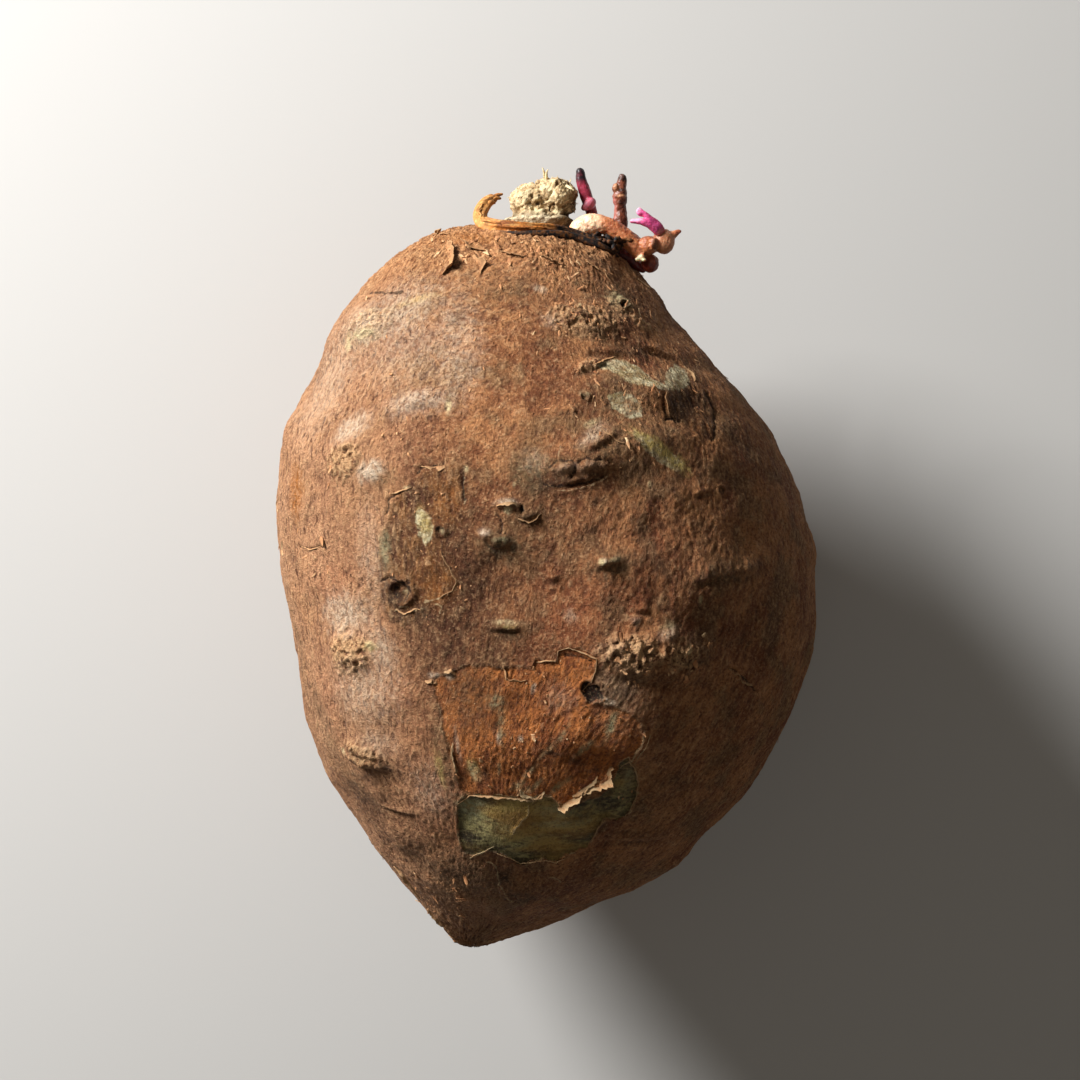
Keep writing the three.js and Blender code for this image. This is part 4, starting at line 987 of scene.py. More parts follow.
def makeSkinMaterial():
    material, tree, shader = newMaterial("tuberSkin", 0.75, 0.25)
    look = skinLook
    position = addNode(tree, "ShaderNodeTexCoord").outputs["Object"]
    growth = attribute(tree, "growth", "Vector")
    streaky = stretched(tree, growth, 1.0, 0.6, 1.0)
    dashes = stretched(tree, growth, 1.0, 0.3, 1.0)
    fibres = stretched(tree, growth, 1.0, 0.16, 1.0)
    wander = calculate(tree, "SUBTRACT", noiseOf(tree, position, 1300.0, detail=4.0), 0.5)
    ragged = ramp(tree, noiseOf(tree, position, 1100.0, detail=4.0), 0.35, 0.6, 0.35, 1.0)

    def roughEdge(name, amount=0.9):
        return calculate(tree, "ADD", attribute(tree, name), times(tree, wander, amount))

    def patchMask(name, high, low, amount):
        return ramp(tree, roughEdge(name), high, low, 0, amount)

    def twoTones(vector, scale, name, contrast=0.12):
        return mottled(tree, vector, scale, contrast, look[name + "Light"],
                       look[name + "Dark"])

    colour = mottled(tree, streaky, 0.11, 0.13, look["tan"], look["brown"])
    # The left side, where the key light falls, is painted paler and greyer and with less olive
    # drift: partly paler skin, partly painted light.
    leftShare = times(tree, attribute(tree, "leftShare"),
                      ramp(tree, noiseOf(tree, position, 90.0), 0.3, 0.7, 0.55, 0.95))
    colour = mixColour(tree, leftShare, colour, look["leftTan"])
    colour = mixColour(tree, attribute(tree, "blush"), colour, look["blush"])
    drift = times(tree, ramp(tree, noiseOf(tree, position, 130.0, detail=5.0), 0.48, 0.64),
                  ramp(tree, attribute(tree, "leftShare"), 0, 1, 0.5, 0.15))
    colour = mixColour(tree, drift, colour, look["olive"])
    # Umber stains, partly painted shade in hollows.
    umberAndShade = times(tree, attribute(tree, "umberAndShade"),
                  ramp(tree, noiseOf(tree, streaky, 0.9, detail=4.0), 0.35, 0.6, 0.65, 1.0))
    colour = mixColour(tree, umberAndShade, colour, look["umberAndShade"])
    colour = mixColour(tree, patchMask("wornEdge", 0.5, -0.7, 0.85), colour,
                       twoTones(dashes, 0.45, "worn"))

    # Grooves are painted darker and redder, as painted shade, and the tops of wrinkles are
    # painted pale, as pale dust and painted highlight.
    wrinkle = attribute(tree, "wrinkle")
    colour = mixColour(tree, ramp(tree, wrinkle, 0.02, -0.16, 0, 0.6), colour, look["grooveAndShade"])
    dustyHighlight = times(tree, ramp(tree, noiseOf(tree, position, 520.0, detail=4.0), 0.46, 0.66),
                  ramp(tree, wrinkle, -0.02, 0.14, 0, 0.5))
    colour = mixColour(tree, dustyHighlight, colour, look["dustAndHighlight"])

    # Short dark dashes along the root, most where the wrinkles are long.
    dash = times(tree, ramp(tree, noiseOf(tree, dashes, 1.3, detail=3.0), 0.58, 0.64),
                 ramp(tree, attribute(tree, "dashShare"), 0.1, 0.8, 0.1, 0.75))
    colour = mixColour(tree, dash, colour, look["grooveAndShade"])

    # The crown is browner and fibrous.
    fibre = ramp(tree, noiseOf(tree, fibres, 1.6), 0.35, 0.65)
    crown = times(tree, attribute(tree, "crownShare"), 0.8)
    colour = mixColour(tree, crown, colour,
                       mixColour(tree, fibre, look["crownDark"], look["crownLight"]))
    # Cork crumbs that stand up are painted lighter and those that sink darker: painted highlight
    # and painted shade following the crumbs' relief.
    cork = attribute(tree, "cork")
    crumbs = noiseOf(tree, position, 1050.0, detail=4.0, roughness=0.6)
    corkTone = mixColour(tree, ramp(tree, crumbs, 0.36, 0.56), look["corkDark"],
                         look["corkLight"])
    colour = mixColour(tree, times(tree, cork, 0.85), colour, corkTone)
    colour = mixColour(tree, times(tree, cork, ramp(tree, crumbs, 0.44, 0.36, 0, 0.8)),
                       colour, look["grooveAndShade"])
    colour = mixColour(tree, times(tree, umberAndShade, cork), colour, look["umberAndShade"])

    # Patches, each with a ragged edge and, in places, a thin pale rim of torn skin.
    rust = mixColour(tree, times(tree, umberAndShade, 0.6), twoTones(streaky, 0.3, "rust", 0.12),
                     look["umberAndShade"])
    level = stretched(tree, position, 0.35, 1.0, 1.0)
    green = twoTones(level, 380.0, "green", 0.07)
    yellowing = ramp(tree, noiseOf(tree, level, 150.0, detail=2.0), 0.44, 0.6, 0, 0.7)
    green = mixColour(tree, yellowing, green, look["greenYellow"])
    green = mixColour(tree, patchMask("greenEdge", -1.6, -0.2, 0.45), green, look["greenDark"])
    greenMask = patchMask("greenEdge", 0.08, -0.12, 0.95)
    rustMask = patchMask("rustEdge", 0.2, -0.6, 0.85)
    colour = mixColour(tree, rustMask, colour, rust)
    colour = mixColour(tree, greenMask, colour, green)
    streak = ramp(tree, noiseOf(tree, stretched(tree, position, 0.4, 1.0, 1.0), 900.0,
                                detail=4.0), 0.36, 0.58, 0.45, 1.0)
    colour = mixColour(tree, times(tree, patchMask("filmEdge", 0.2, -0.3, 0.95), streak),
                       colour, twoTones(level, 520.0, "film"))
    # The leather relief's low spots get painted shade and its tops a pale mix of dust and painted
    # highlight.
    leather = noiseOf(tree, streaky, 1.25, detail=4.0, roughness=0.6)
    tops = ramp(tree, leather, 0.4, 0.58, 0.45, 1.1)
    notGreen = calculate(tree, "SUBTRACT", 1.0, greenMask)
    colour = mixColour(tree, times(tree, ramp(tree, leather, 0.48, 0.36, 0, 0.25), notGreen),
                       colour, look["grooveAndShade"])
    colour = mixColour(tree, times(tree, ramp(tree, leather, 0.53, 0.66, 0, 0.2), notGreen),
                       colour, look["dustAndHighlight"])
    for name in ("olive", "ochre", "bloomAndHighlight", "mint", "straw", "pale"):
        # Bloom goes only on the tops of the leather relief, partly as painted highlight.
        share = times(tree, attribute(tree, name), tops if name == "bloomAndHighlight" else ragged)
        colour = mixColour(tree, share, colour, look[name])
    rimShow = ramp(tree, noiseOf(tree, position, 480.0, detail=3.0), 0.48, 0.6)
    for name, amount in (("rustEdge", 0.2), ("greenEdge", 0.65), ("holeEdge", 0.15)):
        rim = calculate(tree, "ABSOLUTE", calculate(tree, "SUBTRACT", roughEdge(name), 0.12))
        rim = times(tree, ramp(tree, rim, 0.14, 0.04), rimShow, amount)
        colour = mixColour(tree, rim, colour, look["cream"])

    # Pale crack lines are partly painted highlight on their raised edges, dark ones partly
    # painted shade in their grooves.
    for name, high, low, amount, tint in (("paleLine", 0.2, 0.08, 0.5, "cream"),
                                          ("darkLine", 0.3, 0.1, 0.8, "speckAndShade")):
        crack = ramp(tree, roughEdge(name, 0.35), high, low, 0, amount)
        colour = mixColour(tree, crack, colour, look[tint])
    # Dark stains: partly real dark patches, partly painted shade under ridges, knobs and flaps
    # and in hollows.
    colour = mixColour(tree, times(tree, attribute(tree, "dark"), ragged, 0.9), colour,
                       look["dark"])
    # The holes are painted near black, as painted shade in their depth.
    colour = mixColour(tree, patchMask("holeEdge", 0.1, -0.15, 0.95), colour, look["hole"])

    # Fine grain and grit: pores are painted dark as well as made deep, as painted shade; the
    # grit's low spots are painted darker as painted shade, less on the lit left side, and its
    # high grains pale, partly as painted highlight.
    fine = place(tree, grain, {"Vector": streaky, "Scale": 2.3, "Pores": 1.0})
    smoother = calculate(tree, "SUBTRACT", 1.0, times(tree, greenMask, 0.25))
    pores = times(tree, fine["Pore Mask"], ramp(tree, noiseOf(tree, position, 160.0), 0.45,
                                                0.65, 0.0, 0.45), smoother)
    colour = mixColour(tree, pores, colour, look["speckAndShade"])
    grit = noiseOf(tree, position, 1900.0, detail=5.0, roughness=0.75)
    gritShadeShare = ramp(tree, attribute(tree, "leftShare"), 0, 1, 0.7, 0.35)
    colour = mixColour(tree, times(tree, ramp(tree, grit, 0.5, 0.36), gritShadeShare, smoother), colour,
                       look["grooveAndShade"])
    dustAndHighlightShare = calculate(tree, "SUBTRACT", smoother, times(tree, rustMask, 0.7))
    colour = mixColour(tree, times(tree, ramp(tree, grit, 0.53, 0.66, 0, 0.45), dustAndHighlightShare),
                       colour, look["dustAndHighlight"])
    tree.links.new(colour, shader.inputs["Base Color"])
    height = calculate(tree, "ADD", times(tree, fine["Height"], 0.3), times(tree, grit, 0.9))
    height = calculate(tree, "ADD", height, times(tree, leather, 0.95))
    height = calculate(tree, "ADD", height, times(tree, crumbs, cork, 1.5))
    bumpTo(tree, shader, times(tree, height, smoother))
    tree.links.new(calculate(tree, "SUBTRACT", 0.8, times(tree, greenMask, 0.15)),
                   shader.inputs["Roughness"])
    return material


finishPiece(tuberSkin, "skin", makeSkinMaterial(), "tuber")
print("tuber: material done")


# The worked skin's point and the plain form's normal in a direction, read from the side of the
# cube that it crosses: the side for each axis and sign, and the axes of its rows and columns.
cubeSides = {(2, True): (0, 0, 1), (2, False): (1, 1, 0), (0, True): (2, 1, 2),
             (0, False): (3, 2, 1), (1, True): (4, 2, 0), (1, False): (5, 0, 2)}


def skinAt(direction):
    axis = int(np.argmax(np.abs(direction)))
    side, rowAxis, columnAxis = cubeSides[axis, bool(direction[axis] > 0)]
    ratio = np.array([direction[rowAxis], direction[columnAxis]]) / abs(direction[axis])
    at = (np.arctan(ratio) * 4 / math.pi + 1) / 2 * tuber["divisions"]
    i, j = np.clip(at.astype(int), 0, tuber["divisions"] - 1)
    s, t = at - (i, j)
    corners = skinGrid[side, i:i + 2, j:j + 2].ravel()
    weight = np.array([(1 - s) * (1 - t), (1 - s) * t, s * (1 - t), s * t])
    return weight @ skinPoints[corners], unit(weight @ skinNormals[corners])


# Loose bits of skin. Each is a small thin blade that is held at one end or one side.
def makeBladeMaterial(name, light, dark, edge, cream):
    material, tree, shader = newMaterial(name, 0.8, 0.2)
    position = addNode(tree, "ShaderNodeTexCoord").outputs["Object"]
    colour = mottled(tree, position, 420.0, 0.14, light, dark)
    rim = times(tree, attribute(tree, "free"), 0.75)
    colour = mixColour(tree, rim, colour, edge)
    creamy = times(tree, attribute(tree, "pale"),
                   ramp(tree, noiseOf(tree, position, 560.0, detail=4.0), 0.4, 0.58, 0.2,
                        0.95))
    tree.links.new(mixColour(tree, creamy, colour, cream), shader.inputs["Base Color"])
    fine = place(tree, grain, {"Vector": position, "Scale": 2600.0, "Pores": 0.3})
    bumpTo(tree, shader, times(tree, fine["Height"], 0.15))
    return material


# Flakes by region: its left, right, top and bottom in pixels, how many, and their half length,
# half width and lift in mm. Those on the underside have no region. None grows near the two
# ends or low down, and the held end is sunk in the skin.
flakes = {
    "seed": 5, "across": 4, "along": 7, "thick": 0.07, "sunk": 0.12, "endGap": 0.12,
    "lowest": 3,
    "regions": [
        (545, 668, 250, 330, 150, 0.55, 0.13, 0.35), (430, 610, 238, 264, 80, 0.7, 0.28, 0.35),
        (590, 720, 335, 470, 110, 0.5, 0.14, 0.3), (470, 600, 260, 420, 60, 0.6, 0.15, 0.25),
        (395, 470, 870, 942, 90, 0.5, 0.22, 0.35), (600, 712, 632, 684, 40, 0.5, 0.35, 0.4),
        (556, 640, 304, 338, 40, 0.5, 0.3, 0.35), (285, 420, 300, 640, 60, 0.4, 0.2, 0.25),
        (440, 640, 660, 800, 110, 0.35, 0.22, 0.3), (410, 470, 480, 625, 50, 0.25, 0.18, 0.25),
    ],
    "lower": (170, 0.7, 0.25, 0.35),
}


def bladeQuads(rows, columns):
    i, j = np.meshgrid(np.arange(rows - 1), np.arange(columns - 1), indexing="ij")
    a = i * columns + j
    return np.stack([a, a + columns, a + columns + 1, a + 1], -1).reshape(-1, 4)


def makeFlakes():
    rng = np.random.default_rng(flakes["seed"])
    quads = bladeQuads(flakes["along"], flakes["across"])
    u, v = np.meshgrid(np.linspace(0, 1, flakes["along"]), np.linspace(-1, 1, flakes["across"]),
                       indexing="ij")
    spots = []
    for left, right, top, bottom, count, *sizes in flakes["regions"]:
        for _ in range(count):
            px, py = rng.uniform(left, right), rng.uniform(top, bottom)
            spots.append((seenAt(px, py), sizes))
    count, *sizes = flakes["lower"]
    for _ in range(count):
        direction = unit(rng.normal(size=3))
        spots.append((direction * np.array([1, 1, -np.sign(direction[2])]), sizes))
    shells, paleness = [], []
    for direction, (halfLong, halfWide, rise) in spots:
        base, normal = skinAt(direction)
        if np.hypot(direction[0], direction[2]) < flakes["endGap"] or base[2] < flakes["lowest"]:
            continue
        turn = rng.normal(0, 0.5) + (math.pi if rng.random() < 0.5 else 0)
        level = unit(np.cross([0.0, 1.0, 0.0], normal))
        steep = np.cross(normal, level)
        along = steep * math.cos(turn) + level * math.sin(turn)
        across = level * math.cos(turn) - steep * math.sin(turn)
        size, bow = rng.lognormal(-0.15, 0.4), rng.uniform(-0.5, 0.5)
        long, wide = halfLong * size, halfWide * size
        width = wide * (1 - 0.75 * u ** 2) * (1 + 0.25 * np.sin(u * 9 + rng.uniform(0, 6)))
        lift = rise * size * rng.uniform(0.3, 1.2)
        out = -flakes["sunk"] + lift * u ** 1.6 + 0.1 * wide * (1 - v * v)
        points = (base + along * ((2 * u - 0.8) * long)[..., None]
                  + across * (v * width + bow * long * u * u)[..., None]
                  + normal * out[..., None]).reshape(-1, 3)
        shells.append((points, quads, noCaps))
        paleness.append(np.full(len(points), rng.random() ** 3))
    points, faces, _ = gather(shells)
    made = makeMesh("skin_flakes", points, [faces])
    setValues(made, {"free": np.tile(u.ravel() ** 2, len(shells)),
                     "pale": np.concatenate(paleness)})
    thicken(made, flakes["thick"])
    finishPiece(made, "skin", makeBladeMaterial(
        "flakeSkin", tone(186, 128, 86), tone(128, 78, 46), tone(208, 156, 108),
        tone(216, 184, 140)))


makeFlakes()
print("flakes: done")

# Torn edges that stand up or curl: pixels of the path, width in mm, curl in degrees, paleness.
# The free side is on the right of the path as it runs, or on its left if the width is negative.
tornEdges = {
    "steps": 7, "thick": 0.1, "sunk": 0.12, "inset": 0.15, "lift": 0.16, "fewest": 8,
    "pixelsPerStep": 1.6, "pixelsPerWave": 9,
    "edges": [
        ([(557, 808), (565, 802), (573, 797), (582, 790)], 2.2, 120, 0.6),
        ([(582, 792), (590, 787), (597, 781), (604, 775), (611, 766)], 2.5, 115, 0.55),
        ([(572, 796), (580, 789), (590, 784), (598, 777)], 1.3, 60, 0.5),
        ([(458, 804), (468, 797), (490, 796), (520, 799), (533, 801), (541, 795), (552, 797),
          (560, 806)], 0.55, 50, 0.5),
        ([(520, 790), (528, 796), (536, 798), (544, 792)], 1.0, 40, 0.7),
        ([(470, 858), (482, 854), (494, 847)], -0.7, 40, 1.0),
        ([(497, 853), (510, 858), (520, 865), (545, 860), (556, 862), (570, 856)], -0.4, 60, 0.4),
        ([(620, 768), (628, 758), (634, 766), (638, 780), (636, 796), (628, 812)], 0.5, 70, 0.6),
        ([(616, 818), (604, 818), (597, 831), (588, 846)], 0.5, 60, 0.5),
        ([(450, 745), (452, 756), (456, 772)], -0.5, 50, 0.6),
        ([(536, 664), (546, 661), (557, 662)], 0.35, 50, 0.2),
        ([(558, 664), (558, 652), (568, 648), (584, 652), (596, 657), (595, 670), (590, 682),
          (583, 690)], 0.3, 50, 0.3),
        ([(645, 729), (641, 742), (636, 750), (632, 762)], 0.6, 50, 0.7),
        ([(441, 556), (450, 572), (456, 583), (450, 592), (438, 598)], 0.35, 45, 0.2),
        ([(396, 609), (404, 614), (414, 609), (420, 611)], 0.4, 50, 0.2),
        ([(421, 466), (432, 466), (443, 465), (445, 458)], 0.9, 20, 0.1),
        ([(518, 519), (530, 521), (541, 514)], 0.7, 60, 0.3),
        ([(496, 506), (505, 502), (514, 502), (520, 507)], 0.8, 40, 0.3),
        ([(424, 681), (432, 678), (436, 684)], 1.1, 40, 0.2),
        ([(443, 672), (450, 668), (455, 676)], 1.0, 40, 0.3),
        ([(502, 668), (504, 682), (514, 684), (526, 682)], -0.7, 30, 0.0),
        ([(446, 246), (449, 256), (447, 266), (441, 274)], -2.4, 80, 0.0),
        ([(430, 240), (440, 234), (452, 236)], 1.6, 60, 0.1),
        ([(472, 256), (478, 264), (480, 274)], -1.6, 70, 0.0),
        ([(462, 240), (474, 244), (486, 250)], 1.4, 50, 0.0),
        ([(500, 250), (514, 252), (526, 256)], 1.2, 50, 0.0),
        ([(540, 256), (552, 258), (566, 264)], 1.2, 50, 0.0),
        ([(586, 262), (600, 270), (612, 282)], 1.2, 50, 0.1),
        ([(728, 668), (738, 673), (747, 682), (752, 684)], 1.0, 60, 0.3),
        ([(279, 496), (277, 504), (278, 512)], 0.5, 50, 0.5),
        ([(283, 540), (282, 548), (284, 556)], 0.5, 50, 0.5),
        ([(300, 547), (310, 549), (321, 546)], 0.4, 50, 0.1),
        ([(394, 866), (404, 876), (412, 888), (420, 898)], 1.0, 60, 0.2),
        ([(428, 908), (438, 918), (448, 928)], 1.0, 60, 0.2),
        ([(392, 494), (400, 490), (412, 488)], 0.5, 40, 0.2),
        ([(664, 396), (665, 408), (668, 417)], 0.7, 40, 0.0),
        ([(684, 366), (690, 372), (694, 382)], -0.7, 40, 0.3),
        ([(594, 367), (602, 360), (614, 356)], 0.8, 40, 0.0),
        ([(600, 430), (612, 438), (622, 446)], 0.9, 50, 0.1),
    ],
}


def makeTornEdges():
    shells, free, paleness = [], [], []
    u = np.linspace(0, 1, tornEdges["steps"])
    for index, (pixels, width, curl, pale) in enumerate(tornEdges["edges"]):
        pixels = np.array(pixels, float)
        run = np.concatenate([[0], np.cumsum(np.linalg.norm(np.diff(pixels, axis=0), axis=1))])
        count = max(tornEdges["fewest"], int(run[-1] / tornEdges["pixelsPerStep"]))
        share = np.linspace(0, 1, count)
        path = [np.interp(share * run[-1], run, pixels[:, k]) for k in (0, 1)]
        base, normal = (np.array(part) for part in zip(
            *(skinAt(seenAt(px, py)) for px, py in zip(*path))))
        aside = unit(np.cross(unit(np.gradient(base, axis=0)), normal)) * math.copysign(1, width)
        line = np.stack([share * run[-1] / tornEdges["pixelsPerWave"],
                         np.full(count, index * 3.7), np.zeros(count)], -1)
        ragged = np.clip(1 + 0.7 * noiseA(line) + 0.5 * noiseB(line * 3.1), 0, 2)
        wide = abs(width) * ragged * np.sin(np.clip(share, 0.04, 0.96) * math.pi) ** 0.5
        bend = np.maximum(math.radians(curl) * (1 + 0.35 * noiseC(line * 1.7)), 0.05)
        turn, radius = bend[:, None] * u[None], (wide / bend)[:, None]
        over = radius * np.sin(turn) - tornEdges["inset"]
        up = radius * (1 - np.cos(turn)) + tornEdges["lift"] * u
        points = (base[:, None] - normal[:, None] * tornEdges["sunk"]
                  + aside[:, None] * over[..., None] + normal[:, None] * up[..., None])
        shells.append((points.reshape(-1, 3), bladeQuads(count, tornEdges["steps"]), noCaps))
        free.append(np.tile(u, count))
        paleness.append(np.full(count * len(u), pale))
    points, quads, _ = gather(shells)
    made = makeMesh("torn_edges", points, [quads])
    setValues(made, {"free": np.concatenate(free), "pale": np.concatenate(paleness)})
    thicken(made, tornEdges["thick"])
    finishPiece(made, "skin", makeBladeMaterial(
        "tornSkin", tone(180, 126, 82), tone(108, 70, 44), tone(172, 134, 94),
        tone(178, 158, 122)))


makeTornEdges()
print("torn edges: done")


# Colours of a shoot, strand or stub: a mottled base, and zones given as masks on the mesh.
def makeZoneMaterial(name, look, roughness, specular, subsurface=0.0):
    material, tree, shader = newMaterial(name, roughness, specular, subsurface)
    position = addNode(tree, "ShaderNodeTexCoord").outputs["Object"]
    colour = mottled(tree, position, look["patch"], 0.14, look["light"], look["dark"])
    ragged = ramp(tree, noiseOf(tree, position, look["patch"] * 2.5, detail=4.0), 0.3, 0.6,
                  0.6, 1.0)
    for zone, zoneColour in look["zones"].items():
        colour = mixColour(tree, times(tree, attribute(tree, zone), ragged), colour,
                           zoneColour)
    fine = place(tree, grain, {"Vector": position, "Scale": look["grain"],
                               "Pores": look["pores"]})
    # Pores are painted dark, partly as painted shade in them.
    pores = times(tree, fine["Pore Mask"], look["pores"] * 0.6)
    tree.links.new(mixColour(tree, pores, colour, look["dark"]), shader.inputs["Base Color"])
    bumpTo(tree, shader, times(tree, fine["Height"], look["relief"]))
    return material


# The vine's stub: two crumbling lumps on a wider foot, with straw-like fibres standing out.
stub = {
    "blocks": [((-2.8, 69.4, 43.6), (4.9, 4.2, 5.9)), ((1.2, 70.1, 43.4), (4.9, 4.9, 6.3))],
    "foot": ((-1.6, 66.0, 44.9), (7.2, 2.6, 7.3)), "squareness": 0.22,
    "flange": ((-1.6, 66.2, 44.9), (7.5, 1.2, 7.6)), "voxel": 0.2, "fibres": 110, "seed": 12,
    "footTop": (66.6, 68.2), "seam": 67.2, "fibresFrom": 67.8,
    "tufts": [[(-0.4, 74.0, 45.0), (-0.6, 75.4, 45.6), (-0.9, 76.2, 45.8)],
              [(-0.1, 74.0, 45.2), (-0.1, 75.2, 45.9), (0.2, 75.8, 46.2)],
              [(3.6, 72.6, 47.6), (4.4, 72.0, 48.8), (5.1, 71.5, 49.2)]],
    "look": {"patch": 420.0, "light": tone(214, 190, 148), "dark": tone(150, 116, 76),
             "grain": 1900.0, "pores": 0.7, "relief": 0.4,
             "zones": {"pit": tone(84, 54, 32), "shade": tone(58, 48, 34),
                       "flange": tone(206, 190, 158), "straw": tone(232, 216, 172)}},
}


def makeStub():
    shells = [lump(at, half, squareness=stub["squareness"]) for at, half in stub["blocks"]]
    shells += [lump(*stub["foot"], squareness=stub["squareness"]),
               lump(*stub["flange"], squareness=stub["squareness"])]
    points, normals, faceSets = meld(shells, stub["voxel"], soften=3)
    upper = smoothStep(*stub["footTop"], points[:, 1])
    crumbs = (noiseA(points / 2.6) * 0.6 + noiseB(points / 1.2) * 0.16
              + noiseC(points / 0.55) * 0.22)
    pits = smoothStep(0.3, 0.6, noiseC(points / 1.1 + 5))
    seam = bell(points[:, 1] - stub["seam"] - 0.3 * noiseA(points / 2), 0.4)
    height = (0.3 + 0.9 * upper) * crumbs - (0.2 + 0.5 * upper) * pits - 0.6 * seam
    worked = points + normals * height[:, None]
    made = makeMesh("stub_wood", worked, faceSets)
    lowerRight = smoothStep(1.0, 4.5, points[:, 0] - 0.9 * (points[:, 1] - 67.5))
    # Pits and the seam, which are sunk, are painted dark: partly the stub's own dark pits, partly
    # painted shade in them.
    setValues(made, {"pit": np.clip(pits * (0.3 + 0.7 * upper) + seam, 0, 1) * 0.85,
                     "shade": lowerRight * 0.8, "flange": (1 - upper) * 0.8 * (1 - lowerRight),
                     "straw": upper * smoothStep(0.1, 0.6, noiseB(points / 1.4)) * 0.7})
    material = makeZoneMaterial("stubWood", stub["look"], 0.9, 0.15)
    finishPiece(made, "cork", material, "vine_stub")

    rng = np.random.default_rng(stub["seed"])
    blades = [sweep(path, [0.32, 0.26, 0.1], sides=7, steps=8) for path in stub["tufts"]]
    for k in rng.choice(np.flatnonzero(points[:, 1] > stub["fibresFrom"]), stub["fibres"]):
        out = unit(normals[k] + rng.normal(0, 1.2, 3) + np.array([0, 0.3, 0]))
        lie = unit(np.cross(out, rng.normal(size=3)))
        long = rng.uniform(0.4, 1.1)
        start = worked[k] - normals[k] * 0.15
        path = [start, start + out * long * 0.5, start + (out * 0.8 + lie * 0.4) * long]
        blades.append(sweep(path, [0.13, 0.1, 0.04], sides=5, steps=4))
    points, quads, caps = gather(blades)
    fibres = makeMesh("stub_fibres", points, [quads, caps])
    setValues(fibres, {"straw": np.full(len(points), 0.7)})
    finishPiece(fibres, "cork", material)


makeStub()
print("stub: done")

# The dried strand: a split, fibrous ribbon that chars to black at its right end.
strand = {
    "path": [(-9.6, 70.3, 49.0), (-11.4, 69.0, 50.5), (-12.5, 67.0, 52.2), (-12.2, 65.2, 54.2),
             (-10.2, 64.3, 56.3), (-6.5, 63.9, 57.3), (-2.4, 63.8, 56.9), (1.7, 63.7, 55.2),
             (5.0, 63.2, 53.6), (8.4, 62.2, 53.2), (11.0, 61.2, 52.6), (13.2, 60.0, 51.0)],
    "girth": [0.85, 1.15, 1.25, 1.2, 1.1, 1.0, 0.95, 0.9, 0.7, 0.5, 0.4, 0.25],
    "flat": 0.6, "fibres": 9, "seed": 8, "charFrom": -1.0, "charTo": 2.6,
    "frays": [[(-10.6, 69.8, 49.6), (-9.4, 70.6, 49.0), (-8.3, 70.9, 48.6)],
              [(-10.8, 69.4, 50.0), (-9.6, 70.0, 49.5), (-8.6, 70.0, 49.2)],
              [(-11.2, 68.8, 50.9), (-10.4, 69.2, 50.4), (-9.7, 69.0, 50.0)]],
    "tangle": {"at": (8.4, 62.2, 53.0), "spread": (3.4, 0.9, 0.8), "count": 40},
    "look": {"patch": 500.0, "light": tone(196, 122, 52), "dark": tone(112, 60, 24),
             "grain": 2200.0, "pores": 0.4, "relief": 0.15,
             "zones": {"straw": tone(222, 172, 104), "charAndShade": tone(17, 15, 15)}},
}


def makeStrand():
    rng = np.random.default_rng(strand["seed"])
    path = np.array(strand["path"])
    shells = [sweep(path, strand["girth"], sides=40, steps=260, flat=strand["flat"],
                    ridges=0.14, turns=12)]
    for _ in range(strand["fibres"]):
        start, end = sorted(rng.uniform(0, len(path) - 1, 2))
        keep = np.linspace(start, max(end, start + 3), 9)
        at = np.stack([np.interp(keep, np.arange(len(path)), path[:, k]) for k in range(3)], -1)
        at += rng.normal(0, 0.3, 3) + rng.normal(0, 0.12, at.shape) + np.array([0, 0, 0.35])
        shells.append(sweep(at, [0.06, 0.2, 0.16, 0.2, 0.06], sides=8, steps=60))
    shells += [sweep(fray, [0.5, 0.45, 0.2], sides=8, steps=20) for fray in strand["frays"]]
    charred = len(gather(shells)[0])
    # The under-strand and the tangle are painted charred black; the under-strand partly stands
    # for the shadow beneath the strand.
    under = path[4:] + np.array([0.4, -1.2, 1.3])
    shells.append(sweep(under, [0.15, 0.35, 0.6, 0.85, 0.95, 0.9, 0.6, 0.25], sides=14,
                        steps=120, ridges=0.12))
    tangle = strand["tangle"]
    for _ in range(tangle["count"]):
        start = np.array(tangle["at"]) + rng.uniform(-1, 1, 3) * tangle["spread"]
        knots = start + np.cumsum(rng.normal(0, 0.4, (5, 3)) + np.array([0.5, -0.25, -0.15]), 0)
        size = rng.uniform(0.2, 0.5)
        shells.append(sweep(knots, [size * 0.6, size, size * 0.8, size, size * 0.3], sides=10,
                            steps=24, ridges=0.15, turns=5))
    points, quads, caps = gather(shells)
    charAndShade = smoothStep(strand["charFrom"], strand["charTo"],
                      points[:, 0] + 0.8 * noiseA(points / 1.2))
    charAndShade[charred:] = 1
    straw = smoothStep(-8.5, -11.5, points[:, 0]) * 0.3 + 0.6 * smoothStep(
        0.1, 0.6, noiseB(points * np.array([0.3, 2.2, 2.2])))
    made = makeMesh("strand_fibre", points, [quads, caps])
    setValues(made, {"charAndShade": charAndShade, "straw": np.clip(straw, 0, 1) * (1 - charAndShade)})
    finishPiece(made, "dry_fibre", makeZoneMaterial("strandFibre", strand["look"], 0.7, 0.3),
                "dry_strand")


makeStrand()
print("strand: done")

